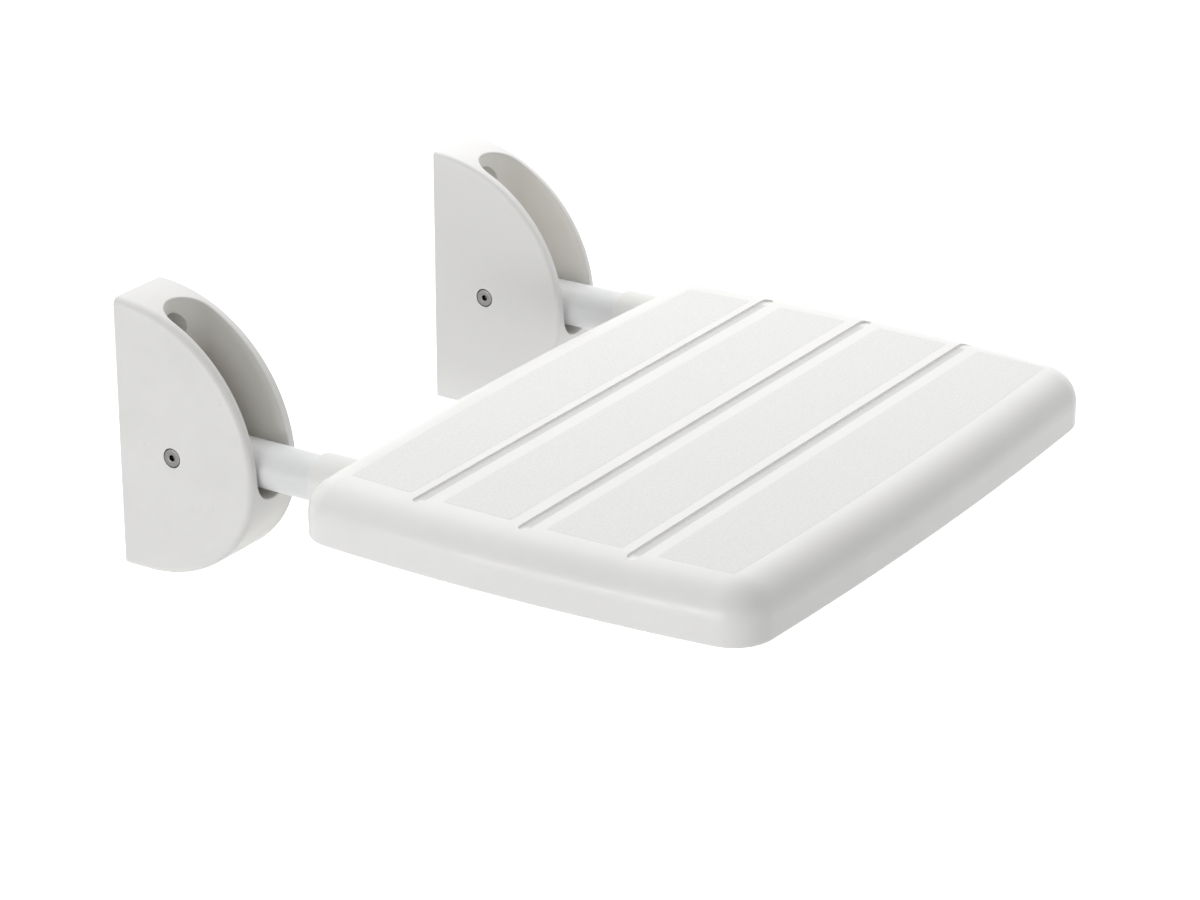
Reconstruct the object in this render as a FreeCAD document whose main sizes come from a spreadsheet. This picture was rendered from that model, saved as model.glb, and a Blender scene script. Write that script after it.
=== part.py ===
"""Fold down wall seat: a moulded seat panel on two tube arms that swing in two wall brackets.

Frame: X runs along the wall, Y = 0 is the wall and the seat reaches towards -Y, Z is up.
The origin is the centre of the four wall-screw holes, on the wall.
Every piece is drawn in a frame whose origin lies on the wall at the height of the pivot axis.
"""
import FreeCAD, Part
import math
import os

import Sketcher

SIZES = {
    # Arms and where they stand
    "arm_inset": 50.3,  # arm axis inside the widest point of the seat
    "pivot_to_wall": 38.8,  # pivot axis in front of the wall
    "pattern_rise": 51.0,  # centre of the wall screws above the pivot axis
    "screw_spacing": 38.0,  # the two wall screws of one bracket, one above the other
    # Bracket outline, seen from the side
    "bracket_thickness": 45.0,
    "bracket_reach": 97.0,  # furthest from the wall
    "bracket_top": 92.5,  # above the pivot axis
    "bracket_bottom": 77.5,  # below the pivot axis
    "nose_drop": 6.0,  # furthest point of the outline, below the pivot axis
    "foot_flat": 16.0,  # straight part of the underside next to the wall
    "outer_rim_radius": 4.5,
    "inner_rim_radius": 2.5,
    "lip_radius": 0.8,  # rounding of the mouth of the slot
    # Slot in the bracket
    "slot_side_gap": 2.25,  # tube to cheek
    "slot_back_gap": 1.0,  # raised tube to the back of the slot
    "slot_drop": 3.5,  # centre of the lower end of the slot, below the tube's axis
    "heel_room": 1.4,  # round the turning heel
    # Wall screws and the back of the bracket
    "screw_bore": 8.5,
    "counterbore": 21.0,
    "screw_floor": 12.0,  # thickness under the screw head
    "washer_diameter": 20.4,
    "washer_thickness": 2.0,
    "pad_thickness": 2.0,
    "pad_margin": 3.0,  # pad edge inside the bracket's edge
    "core_wall": 4.0,  # walls and ribs round the moulded hollows
    "core_depth": 40.0,  # deepest hollow, from the pad
    # Arm tube
    "tube_diameter": 28.0,
    "tube_wall": 2.0,
    "tube_start": 15.0,  # from the pivot axis to the end of the tube
    "tube_front_room": 24.5,  # from the end of the tube to the front of the seat
    "plug_flange": 2.5,
    "plug_length": 14.0,
    # Pivot
    "barrel_diameter": 9.0,
    "head_diameter": 12.0,
    "head_height": 3.0,
    "head_recess": 0.2,
    "head_gap": 0.2,  # radial, between the head and its seat
    "head_chamfer": 0.7,
    "socket_flats": 3.8,
    "socket_depth": 5.0,
    "screw_diameter": 6.0,
    "screw_length": 20.0,
    "bush_diameter": 13.0,
    "bush_length": 10.0,
    "bush_flange": 24.0,
    "bush_flange_thickness": 2.0,
    "running_gap": 0.05,  # radial, round a turning or sliding fit
    # Knuckle and its stop
    "heel_drop": 18.0,  # heel below the pivot axis
    "spigot_length": 38.0,
    "pin_diameter": 5.0,
    "pin_from_tube_end": 20.0,
    "stop_pad_width": 24.0,
    "stop_pad_height": 9.0,
    "stop_pad_drop": 13.0,  # its centre below the pivot axis
    "stop_pad_thickness": 4.0,
    "stop_pad_proud": 0.4,
    "stop_gap": 0.1,
    # Seat panel
    "seat_width": 424.0,
    "seat_front": 449.5,  # front edge from the wall
    "seat_rear": 139.4,  # rear edge from the wall
    "side_bulge": 8.6,
    "side_bulge_place": 120.0,  # widest point, in front of the rear edge
    "front_bulge": 7.0,
    "rear_bulge": 8.2,
    "front_corner_radius": 27.0,
    "rear_corner_radius": 21.5,
    "seat_skin": 4.2,
    "bottom_cover": 3.5,  # lower edge of the seat below the tubes
    "edge_radius": 20.5,
    "bottom_edge_radius": 3.0,
    "seat_wall": 4.0,
    "skin_gap": 0.3,  # tube to the underside of the skin
    "cradle_gap": 0.15,  # tube to ribs, sockets and clamps
    "groove_shift": 2.0,  # middle groove behind the middle of the seat
    "groove_pitch": 71.0,
    "groove_end_margin": 17.5,  # end of a groove inside the widest point
    "groove_width": 7.4,
    "groove_depth": 1.7,
    "groove_floor_radius": 1.5,
    "rib_thickness": 2.5,
    "rib_bottom": 10.0,  # below the tube's axis
    # Collars where the tubes enter the seat
    "collar_wall": 2.35,
    "collar_reach": 7.4,  # out of the seat, from its rear edge in the middle
    "collar_length": 26.0,
    "collar_end_radius": 1.6,
    # Saddle clamps
    "clamp_rear_shift": 0.7,  # clamp in front of the middle of its bay between two ribs
    "clamp_front_shift": 0.3,
    "clamp_width": 20.0,
    "clamp_thickness": 2.0,
    "clamp_screw_offset": 22.0,
    "clamp_ear": 6.0,  # ear past the screw
    "boss_diameter": 10.0,
    "clamp_screw_diameter": 4.8,
    "clamp_head_diameter": 9.0,
    "clamp_head_height": 2.8,
    "clamp_screw_length": 11.0,
    "boss_gap": 0.1,
}

doc = FreeCAD.newDocument("fold_down_wall_seat")
sheet = doc.addObject("Spreadsheet::Sheet", "sizes")
for row, (name, number) in enumerate(SIZES.items(), start=1):
    sheet.set("A%d" % row, name)
    sheet.set("B%d" % row, str(number))
    sheet.setAlias("B%d" % row, name)
doc.recompute()


class Measure:
    """A length with its number and the formula that binds it to the sheet."""

    def __init__(self, number, text):
        self.number = number
        self.text = text

    def __float__(self):
        return self.number

    def __add__(self, other):
        other = measure(other)
        return Measure(self.number + other.number, "(%s + %s)" % (self.text, other.text))

    def __radd__(self, other):
        return measure(other) + self

    def __sub__(self, other):
        other = measure(other)
        return Measure(self.number - other.number, "(%s - %s)" % (self.text, other.text))

    def __rsub__(self, other):
        return measure(other) - self

    def __mul__(self, other):
        other = measure(other)
        return Measure(self.number * other.number, "(%s * %s)" % (self.text, other.text))

    def __rmul__(self, other):
        return measure(other) * self

    def __truediv__(self, other):
        other = measure(other)
        return Measure(self.number / other.number, "(%s / %s)" % (self.text, other.text))

    def __neg__(self):
        return Measure(-self.number, "(0 - %s)" % self.text)

    def root(self):
        return Measure(math.sqrt(self.number), "sqrt(%s)" % self.text)


def measure(value):
    """Plain numbers become measures too."""
    if isinstance(value, Measure):
        return value
    return Measure(float(value), repr(float(value)))


def size(name):
    """A size of the sheet."""
    return Measure(float(sheet.get(name)), "sizes." + name)


def bind(thing, prop, value):
    """Tie a property to its formula."""
    thing.setExpression(prop, measure(value).text)


def number(value):
    return float(measure(value))


# Lengths that several pieces share
tube_radius = size("tube_diameter") / 2
slot_half = tube_radius + size("slot_side_gap")
slot_back = size("pivot_to_wall") - tube_radius - size("slot_back_gap")
half_thickness = size("bracket_thickness") / 2
heel_reach = tube_radius + size("slot_back_gap") - size("stop_pad_proud") - size("stop_gap")
heel_radius = (heel_reach * heel_reach + size("heel_drop") * size("heel_drop")).root() + size("heel_room")
bore_radius = tube_radius - size("tube_wall")
tube_end = size("seat_front") - size("tube_front_room")
head_face = half_thickness - size("head_recess")
head_seat = head_face - size("head_height")
skin_height = tube_radius + size("skin_gap")
cradle_radius = tube_radius + size("cradle_gap")
arm_offset = size("seat_width") / 2 - size("arm_inset")
seat_top = skin_height + size("seat_skin")
seat_bottom = tube_radius + size("bottom_cover")
collar_radius = cradle_radius + size("collar_wall")
groove_middle = (size("seat_front") + size("seat_rear")) / 2 - size("groove_shift")
bay_reach = 1.25 * size("groove_pitch")  # middle groove to the middle of an outer bay
clamp_places = [
    groove_middle - bay_reach + size("clamp_rear_shift"),
    groove_middle + bay_reach + size("clamp_front_shift"),
]
screw_heights = [
    size("pattern_rise") - size("screw_spacing") / 2,
    size("pattern_rise") + size("screw_spacing") / 2,
]


# Sketching and features
def origin_plane(body, role):
    return next(f for f in body.Origin.OriginFeatures if f.Role == role)


def new_body(name):
    body = doc.addObject("PartDesign::Body", name)
    body.Label = name
    return body


def place(thing, side):
    """Put a piece at its arm: -1 left, +1 right, 0 between them."""
    bind(thing, "Placement.Base.x", arm_offset * side)
    bind(thing, "Placement.Base.z", -size("pattern_rise"))
    return thing


class Drawing:
    """A sketch on an origin plane of a body, whose points are tied to the sheet."""

    def __init__(self, body, name, role, offset=0.0):
        self.sketch = body.newObject("Sketcher::SketchObject", name)
        self.sketch.AttachmentSupport = [(origin_plane(body, role), "")]
        self.sketch.MapMode = "FlatFace"
        if number(offset) != 0.0:
            bind(self.sketch, "AttachmentOffset.Base.z", offset)

    def constrain(self, *args):
        return self.sketch.addConstraint(Sketcher.Constraint(*args))

    def fix(self, kind, geometry, point, value):
        """Tie one coordinate of a point to a measure."""
        value = measure(value)
        if value.number == 0.0 and value.text == "0.0":
            axis = -2 if kind == "DistanceX" else -1
            self.constrain("PointOnObject", geometry, point, axis)
            return
        index = self.constrain(kind, -1, 1, geometry, point, value.number)
        self.sketch.setExpression("Constraints[%d]" % index, value.text)

    def radius(self, geometry, value):
        index = self.constrain("Radius", geometry, number(value))
        self.sketch.setExpression("Constraints[%d]" % index, measure(value).text)

    def circle(self, x, y, r):
        centre = FreeCAD.Vector(number(x), number(y), 0)
        g = self.sketch.addGeometry(Part.Circle(centre, FreeCAD.Vector(0, 0, 1), number(r)), False)
        self.radius(g, r)
        self.fix("DistanceX", g, 3, x)
        self.fix("DistanceY", g, 3, y)
        return g

    def outline(self, points, centres=None):
        """Closed outline through points; centres[i] = (x, y, ccw) bends the span after point i."""
        centres = centres or {}
        count = len(points)
        spans = []
        for i in range(count):
            a = FreeCAD.Vector(number(points[i][0]), number(points[i][1]), 0)
            b = FreeCAD.Vector(number(points[(i + 1) % count][0]), number(points[(i + 1) % count][1]), 0)
            if i in centres:
                cx, cy, ccw = centres[i]
                c = FreeCAD.Vector(number(cx), number(cy), 0)
                first, last = (a, b) if ccw else (b, a)
                circle = Part.Circle(c, FreeCAD.Vector(0, 0, 1), (a - c).Length)
                t0 = math.atan2(first.y - c.y, first.x - c.x)
                t1 = math.atan2(last.y - c.y, last.x - c.x)
                if t1 <= t0:
                    t1 += 2 * math.pi
                g = self.sketch.addGeometry(Part.ArcOfCircle(circle, t0, t1), False)
                ends = (1, 2) if ccw else (2, 1)
                kind = "DistanceY" if abs(b.x - a.x) > abs(b.y - a.y) else "DistanceX"
                self.fix(kind, g, 3, cy if kind == "DistanceY" else cx)
            else:
                g = self.sketch.addGeometry(Part.LineSegment(a, b), False)
                ends = (1, 2)
            spans.append((g, ends))
        for i in range(count):
            g, ends = spans[i]
            after, after_ends = spans[(i + 1) % count]
            self.constrain("Coincident", g, ends[1], after, after_ends[0])
            self.fix("DistanceX", g, ends[0], points[i][0])
            self.fix("DistanceY", g, ends[0], points[i][1])
        return [g for g, ends in spans]

    def rectangle(self, x0, x1, y0, y1):
        return self.outline([(x0, y0), (x1, y0), (x1, y1), (x0, y1)])


def pad(body, drawing, length, name, symmetric=False, reverse=False):
    feature = body.newObject("PartDesign::Pad", name)
    feature.Profile = drawing.sketch
    bind(feature, "Length", length)
    if symmetric:
        feature.SideType = "Symmetric"
    feature.Reversed = reverse
    drawing.sketch.Visibility = False
    doc.recompute()
    return feature


def pocket(body, drawing, length, name, symmetric=False, along=True):
    """Cut along the sketch's normal, or against it, or both ways."""
    before = body.Shape.Volume
    feature = body.newObject("PartDesign::Pocket", name)
    feature.Profile = drawing.sketch
    if length is None:
        feature.Type = "ThroughAll"
    else:
        bind(feature, "Length", length)
    if symmetric:
        feature.SideType = "Symmetric"
    feature.Reversed = along
    doc.recompute()
    if body.Shape.Volume >= before - 1e-3:
        raise RuntimeError("%s of %s cuts nothing" % (name, body.Label))
    return feature


def round_edges(body, base, radius, name, wanted):
    """Fillet the edges of the last feature that a rule picks."""
    names = ["Edge%d" % (i + 1) for i, edge in enumerate(base.Shape.Edges) if wanted(edge)]
    if not names:
        raise RuntimeError("%s of %s finds no edge" % (name, body.Label))
    feature = body.newObject("PartDesign::Fillet", name)
    feature.Base = (base, names)
    bind(feature, "Radius", radius)
    doc.recompute()
    return feature


def edge_middle(edge):
    return edge.valueAt((edge.FirstParameter + edge.LastParameter) / 2)


def revolve(body, drawing, axis_role, name):
    feature = body.newObject("PartDesign::Revolution", name)
    feature.Profile = drawing.sketch
    feature.ReferenceAxis = (origin_plane(body, axis_role), [""])
    feature.Angle = 360.0
    doc.recompute()
    return feature


def group(name, members):
    """Several identical small pieces under one name."""
    compound = doc.addObject("Part::Compound", name)
    compound.Label = name
    compound.Links = members
    return compound


# Bracket body: D-shaped moulding with the slot in which the arm swings
def bracket_outline(body):
    """Big arc from the wall to the nose, quarter ellipse below it, short flat foot."""
    drawing = Drawing(body, body.Name + "_outline", "YZ_Plane")
    top = number(size("bracket_top"))
    bottom = number(size("bracket_bottom"))
    reach = number(size("bracket_reach"))
    drop = number(size("nose_drop"))
    foot = number(size("foot_flat"))
    crown = (reach ** 2 + (top + drop) ** 2) / (2 * reach)
    axis = FreeCAD.Vector(0, 0, 1)
    centre = FreeCAD.Vector(crown - reach, -drop, 0)
    start = math.atan2(top - centre.y, -centre.x)
    sketch = drawing.sketch
    sketch.addGeometry(Part.ArcOfCircle(Part.Circle(centre, axis, crown), start, math.pi), False)
    low_centre = FreeCAD.Vector(-foot, -drop, 0)
    nose = FreeCAD.Vector(-reach, -drop, 0)
    low = FreeCAD.Vector(-foot, -bottom, 0)
    if reach - foot >= bottom - drop:
        chin = Part.ArcOfEllipse(Part.Ellipse(nose, low, low_centre), 0.0, math.pi / 2)
    else:
        across = FreeCAD.Vector(reach - 2 * foot, -drop, 0)
        chin = Part.ArcOfEllipse(Part.Ellipse(low, across, low_centre), 1.5 * math.pi, 2 * math.pi)
    sketch.addGeometry(chin, False)
    sketch.addGeometry(Part.LineSegment(low, FreeCAD.Vector(0, -bottom, 0)), False)
    sketch.addGeometry(Part.LineSegment(FreeCAD.Vector(0, -bottom, 0), FreeCAD.Vector(0, top, 0)), False)
    drawing.constrain("Coincident", 0, 2, 1, 1)
    drawing.constrain("Tangent", 1, 2, 2, 1)
    drawing.constrain("Coincident", 2, 2, 3, 1)
    drawing.constrain("Coincident", 3, 2, 0, 1)
    drawing.constrain("Horizontal", 2)
    drawing.constrain("PointOnObject", 2, 2, -2)
    drawing.constrain("PointOnObject", 3, 2, -2)
    drawing.constrain("Horizontal", 0, 3, 0, 2)
    drawing.fix("DistanceY", 3, 2, size("bracket_top"))
    drawing.fix("DistanceY", 2, 2, -size("bracket_bottom"))
    drawing.fix("DistanceX", 0, 2, -size("bracket_reach"))
    drawing.fix("DistanceY", 0, 2, -size("nose_drop"))
    drawing.fix("DistanceX", 2, 1, -size("foot_flat"))
    drawing.fix("DistanceX", 1, 3, -size("foot_flat"))
    drawing.fix("DistanceY", 1, 3, -size("nose_drop"))
    return drawing


def make_bracket_body(name, side):
    body = new_body(name)
    blank = pad(body, bracket_outline(body), size("bracket_thickness"), name + "_blank", symmetric=True)

    def on_rim(sign):
        x = sign * number(half_thickness)

        def wanted(edge):
            if any(abs(v.X - x) > 1e-4 for v in edge.Vertexes):
                return False
            return abs(edge_middle(edge).y) > 1e-4

        return wanted

    rim = round_edges(body, blank, size("outer_rim_radius"), name + "_outer_rim", on_rim(side))
    round_edges(body, rim, size("inner_rim_radius"), name + "_inner_rim", on_rim(-side))

    # slot, upper part: round at the back, open to the front and the top
    mouth = size("bracket_reach") + 10
    slot_plan = Drawing(body, name + "_slot_plan", "XY_Plane", -size("slot_drop"))
    arc_y = -(slot_back + slot_half)
    slot_plan.outline(
        [(slot_half, -mouth), (slot_half, arc_y), (-slot_half, arc_y), (-slot_half, -mouth)],
        {1: (0.0, arc_y, True)},
    )
    upper = pocket(body, slot_plan, None, name + "_slot_top")

    # slot, lower end: round seen from the front
    slot_front = Drawing(body, name + "_slot_front", "XZ_Plane", size("pivot_to_wall"))
    drop = -size("slot_drop")
    slot_front.outline(
        [(-slot_half, drop), (slot_half, drop), (slot_half, tube_radius), (-slot_half, tube_radius)],
        {0: (0.0, drop, True)},
    )
    pocket(body, slot_front, None, name + "_slot_end")

    # lip of the slot
    lip = body.Tip
    reach_limit = number(slot_back)
    wide = number(slot_half)

    def on_lip(edge):
        m = edge_middle(edge)
        if m.y > -reach_limit or abs(m.x) > wide + 1e-3:
            return False
        normals = []
        for face in lip.Shape.ancestorsOfType(edge, Part.Face):
            u, v = face.Surface.parameter(m)
            normals.append((face, face.normalAt(u, v)))
        if len(normals) != 2:
            return False
        round_faces = [f for f, n in normals if isinstance(f.Surface, Part.Cylinder)]
        outside = [f for f in round_faces if abs(f.Surface.Axis.x) > 0.99]
        return len(outside) == 1

    round_edges(body, lip, size("lip_radius"), name + "_lip", on_lip)

    # room for the knuckle and its turning heel
    room = Drawing(body, name + "_knuckle_room", "YZ_Plane")
    pivot_y = -size("pivot_to_wall")
    ceiling = tube_radius + size("slot_side_gap")
    back_span = tube_radius + size("slot_back_gap")
    low_z = -(heel_radius * heel_radius - back_span * back_span).root()
    front = pivot_y - heel_radius
    room.outline(
        [(-slot_back, ceiling), (front, ceiling), (front, 0.0), (-slot_back, low_z)],
        {2: (pivot_y, 0.0, True)},
    )
    pocket(body, room, 2 * slot_half, name + "_knuckle_cut", symmetric=True)

    # pivot bore through both cheeks, with a seat for each head
    bore = Drawing(body, name + "_pivot_bore", "YZ_Plane")
    bore.circle(pivot_y, 0.0, size("barrel_diameter") / 2 + size("running_gap"))
    pocket(body, bore, 2 * size("bracket_thickness"), name + "_pivot_cut", symmetric=True)
    for end, sign in (("left", -1), ("right", 1)):
        seat = Drawing(body, "%s_%s_head_seat" % (name, end), "YZ_Plane", sign * head_seat)
        seat.circle(pivot_y, 0.0, size("head_diameter") / 2 + size("head_gap"))
        pocket(body, seat, size("head_height") + 2, "%s_%s_head_cut" % (name, end), along=sign > 0)

    # wall screws: bore and counterbore, reached through the slot
    holes = Drawing(body, name + "_screw_bores", "XZ_Plane")
    for height in screw_heights:
        holes.circle(0.0, height, size("screw_bore") / 2)
    pocket(body, holes, size("pivot_to_wall"), name + "_screw_cut")
    sinks = Drawing(body, name + "_screw_sinks", "XZ_Plane", size("screw_floor"))
    for height in screw_heights:
        sinks.circle(0.0, height, size("counterbore") / 2)
    pocket(body, sinks, size("pivot_to_wall"), name + "_sink_cut")

    # seat of the stop pad
    stop_back = slot_back + size("stop_pad_proud") - size("stop_pad_thickness")
    stop = Drawing(body, name + "_stop_seat", "XZ_Plane", stop_back)
    half_w = size("stop_pad_width") / 2 + size("running_gap")
    half_h = size("stop_pad_height") / 2 + size("running_gap")
    stop.rectangle(-half_w, half_w, -(size("stop_pad_drop") + half_h), -(size("stop_pad_drop") - half_h))
    pocket(body, stop, size("stop_pad_thickness"), name + "_stop_cut")

    # recess of the wall pad
    recess = Drawing(body, name + "_pad_recess", "XZ_Plane")
    pad_half = half_thickness - size("pad_margin") - size("outer_rim_radius") / 2
    pad_low = -(size("bracket_bottom") - size("pad_margin") - size("outer_rim_radius") / 2)
    pad_high = size("bracket_top") - size("pad_margin") - size("outer_rim_radius") / 2
    recess.rectangle(-pad_half, pad_half, pad_low, pad_high)
    pocket(body, recess, size("pad_thickness"), name + "_pad_cut")

    # moulded hollows behind the pad, with a rib down the middle
    core = size("core_wall")
    inner = half_thickness - size("outer_rim_radius") - core / 2
    floor_z = -(heel_radius + core)
    middle_z = (floor_z + pad_low) / 2
    hollows = Drawing(body, name + "_low_hollows", "XZ_Plane", size("pad_thickness"))
    for low, high in ((pad_low + core, middle_z - core / 2), (middle_z + core / 2, floor_z)):
        hollows.rectangle(-inner, -(core / 2), low, high)
        hollows.rectangle(core / 2, inner, low, high)
    pocket(body, hollows, size("core_depth"), name + "_low_hollow_cut")
    lower_sink = screw_heights[0] + size("counterbore") / 2 + core / 2
    upper_sink = screw_heights[1] - size("counterbore") / 2 - core / 2
    back = Drawing(body, name + "_back_hollows", "XZ_Plane", size("pad_thickness"))
    back.rectangle(-inner, -(core / 2), lower_sink, upper_sink)
    back.rectangle(core / 2, inner, lower_sink, upper_sink)
    pocket(body, back, slot_back - size("pad_thickness") - core, name + "_back_hollow_cut")
    return place(body, side)


def make_wall_pad(name, side):
    """Seal between the bracket and the wall, flush with the bracket's back."""
    body = new_body(name)
    edge = size("pad_margin") + size("outer_rim_radius") / 2 + size("running_gap")
    half = half_thickness - edge
    low = -(size("bracket_bottom") - edge)
    high = size("bracket_top") - edge
    sheet_plan = Drawing(body, name + "_plan", "XZ_Plane")
    sheet_plan.rectangle(-half, half, low, high)
    for height in screw_heights:
        sheet_plan.circle(0.0, height, size("screw_bore") / 2)
    pad(body, sheet_plan, size("pad_thickness"), name + "_pad")
    return place(body, side)


def make_screw_washers(name, side):
    """Load washers on the floors of the counterbores."""
    members = []
    for i, height in enumerate(screw_heights, start=1):
        rings = []
        for part, diameter in (("disc", "washer_diameter"), ("hole", "screw_bore")):
            cylinder = doc.addObject("Part::Cylinder", "%s_%s_%d" % (name, part, i))
            bind(cylinder, "Radius", size(diameter) / 2)
            bind(cylinder, "Height", size("washer_thickness"))
            cylinder.Placement.Rotation = FreeCAD.Rotation(FreeCAD.Vector(1, 0, 0), 90)
            bind(cylinder, "Placement.Base.y", -size("screw_floor"))
            bind(cylinder, "Placement.Base.z", height)
            rings.append(cylinder)
        washer = doc.addObject("Part::Cut", "%s_%d" % (name, i))
        washer.Base, washer.Tool = rings
        members.append(washer)
    return place(group(name, members), side)


# Pivot: a barrel with a head, closed by a screw with the same head
def turned(body, name, points):
    """A piece turned about the pivot axis, from its half section of (x, radius)."""
    drawing = Drawing(body, name + "_section", "XY_Plane")
    drawing.outline([(x, r) for x, r in points])
    revolve(body, drawing, "X_Axis", name + "_turned")
    bind(body, "Placement.Base.y", -size("pivot_to_wall"))


def hex_socket(body, name, face_x, depth, sign):
    """Six-sided socket sunk in a head on the pivot axis, from its face inwards."""
    drawing = Drawing(body, name + "_socket", "YZ_Plane", face_x)
    corner = size("socket_flats") / measure(math.sqrt(3))
    half = size("socket_flats") / 2
    drawing.outline([
        (0.0, corner),
        (-half, corner / 2),
        (-half, -(corner / 2)),
        (0.0, -corner),
        (half, -(corner / 2)),
        (half, corner / 2),
    ])
    pocket(body, drawing, depth, name + "_socket_cut", along=sign < 0)


def make_pivot_barrel(name, side):
    """Shouldered barrel whose head sits in the outer cheek."""
    body = new_body(name)
    s = side
    face = s * head_face
    seat = s * head_seat
    end = -s * (head_seat - size("running_gap"))
    bore_end = end + s * (size("screw_length") + 2)
    head = size("head_diameter") / 2
    shank = size("barrel_diameter") / 2
    bore = size("screw_diameter") / 2 + size("running_gap")
    chamfer = size("head_chamfer")
    turned(body, name, [
        (face, 0.0),
        (face, head - chamfer),
        (face - s * chamfer, head),
        (seat, head),
        (seat, shank),
        (end, shank),
        (end, bore),
        (bore_end, bore),
        (bore_end, 0.0),
    ])
    hex_socket(body, name, face, size("socket_depth"), s)
    return place(body, side)


def make_pivot_screw(name, side):
    """Screw that closes the barrel from the inner cheek."""
    body = new_body(name)
    s = -side
    face = s * head_face
    seat = s * head_seat
    tip = seat - s * size("screw_length")
    head = size("head_diameter") / 2
    shank = size("screw_diameter") / 2
    chamfer = size("head_chamfer")
    turned(body, name, [
        (face, 0.0),
        (face, head - chamfer),
        (face - s * chamfer, head),
        (seat, head),
        (seat, shank),
        (tip + s * 0.8, shank),
        (tip, shank - 0.8),
        (tip, 0.0),
    ])
    hex_socket(body, name, face, size("socket_depth"), s)
    return place(body, side)


def make_bush(name, side, end):
    """Flanged bush: the flange runs between knuckle and cheek, the sleeve sits in the knuckle."""
    body = new_body(name)
    inner = size("barrel_diameter") / 2 + size("running_gap")
    start = end * tube_radius
    turned(body, name, [
        (start - end * size("bush_length"), inner),
        (start - end * size("bush_length"), size("bush_diameter") / 2),
        (start, size("bush_diameter") / 2),
        (start, size("bush_flange") / 2),
        (start + end * size("bush_flange_thickness"), size("bush_flange") / 2),
        (start + end * size("bush_flange_thickness"), inner),
    ])
    return place(body, side)


# Knuckle: plugs the tube, turns on the pivot and stops the seat level with its heel
def make_arm_knuckle(name, side):
    body = new_body(name)
    pivot_y = -size("pivot_to_wall")
    eye = Drawing(body, name + "_eye", "YZ_Plane")
    eye.circle(pivot_y, 0.0, tube_radius)
    pad(body, eye, size("tube_diameter"), name + "_eye_pad", symmetric=True)
    heel = Drawing(body, name + "_heel", "YZ_Plane")
    heel_y = pivot_y + heel_reach
    heel_z = -size("heel_drop")
    heel.outline([
        (pivot_y - heel_reach / 4, heel_z),
        (heel_y, heel_z),
        (heel_y, 0.0),
        (pivot_y, 0.0),
        (pivot_y - heel_reach / 2, -(heel_reach / 2)),
    ])
    pad(body, heel, size("tube_diameter"), name + "_heel_pad", symmetric=True)
    neck = Drawing(body, name + "_neck", "XZ_Plane", size("pivot_to_wall"))
    neck.circle(0.0, 0.0, tube_radius)
    pad(body, neck, size("tube_start"), name + "_neck_pad")
    spigot = Drawing(body, name + "_spigot", "XZ_Plane", size("pivot_to_wall"))
    spigot.circle(0.0, 0.0, bore_radius - size("running_gap"))
    pad(body, spigot, size("tube_start") + size("spigot_length"), name + "_spigot_pad")
    bore = Drawing(body, name + "_bore", "YZ_Plane")
    bore.circle(pivot_y, 0.0, size("bush_diameter") / 2 + size("running_gap"))
    pocket(body, bore, 2 * size("tube_diameter"), name + "_bore_cut", symmetric=True)
    pin = Drawing(body, name + "_pin_hole", "YZ_Plane")
    pin_y = pivot_y - size("tube_start") - size("pin_from_tube_end")
    pin.circle(pin_y, 0.0, size("pin_diameter") / 2 + size("running_gap"))
    pocket(body, pin, 2 * size("tube_diameter"), name + "_pin_cut", symmetric=True)
    spigot_end = size("pivot_to_wall") + size("tube_start") + size("spigot_length")
    core = Drawing(body, name + "_core", "XZ_Plane", spigot_end)
    core.circle(0.0, 0.0, bore_radius - size("core_wall"))
    pocket(body, core, size("spigot_length") - size("core_wall"), name + "_core_cut", along=False)
    return place(body, side)


def make_knuckle_pin(name, side):
    """Rolled spring pin across the tube and the spigot."""
    body = new_body(name)
    drawing = Drawing(body, name + "_section", "YZ_Plane")
    pin_y = -(size("pivot_to_wall") + size("tube_start") + size("pin_from_tube_end"))
    drawing.circle(pin_y, 0.0, size("pin_diameter") / 2)
    drawing.circle(pin_y, 0.0, size("pin_diameter") / 4)
    pad(body, drawing, size("tube_diameter") - 1, name + "_pad", symmetric=True)
    return place(body, side)


def make_stop_pad(name, side):
    """Hard rubber pad that the heel bears on when the seat is level."""
    body = new_body(name)
    back = slot_back + size("stop_pad_proud") - size("stop_pad_thickness")
    drawing = Drawing(body, name + "_face", "XZ_Plane", back)
    half_w = size("stop_pad_width") / 2
    half_h = size("stop_pad_height") / 2
    drawing.rectangle(-half_w, half_w, -(size("stop_pad_drop") + half_h), -(size("stop_pad_drop") - half_h))
    pad(body, drawing, size("stop_pad_thickness"), name + "_pad")
    return place(body, side)


# Arm tube and its plug
def make_arm_tube(name, side):
    body = new_body(name)
    start = size("pivot_to_wall") + size("tube_start")
    ring = Drawing(body, name + "_ring", "XZ_Plane", start)
    ring.circle(0.0, 0.0, tube_radius)
    ring.circle(0.0, 0.0, bore_radius)
    pad(body, ring, tube_end - start, name + "_pad")
    pin = Drawing(body, name + "_pin_hole", "YZ_Plane")
    pin.circle(-(start + size("pin_from_tube_end")), 0.0, size("pin_diameter") / 2 + size("running_gap"))
    pocket(body, pin, 2 * size("tube_diameter"), name + "_pin_cut", symmetric=True)
    return place(body, side)


def make_tube_plug(name, side):
    body = new_body(name)
    flange = Drawing(body, name + "_flange", "XZ_Plane", tube_end)
    flange.circle(0.0, 0.0, tube_radius)
    pad(body, flange, size("plug_flange"), name + "_flange_pad")
    sleeve = Drawing(body, name + "_sleeve", "XZ_Plane", tube_end)
    sleeve.circle(0.0, 0.0, bore_radius - size("running_gap"))
    sleeve.circle(0.0, 0.0, bore_radius - size("tube_wall"))
    pad(body, sleeve, size("plug_length"), name + "_sleeve_pad", reverse=True)
    return place(body, side)


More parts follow.
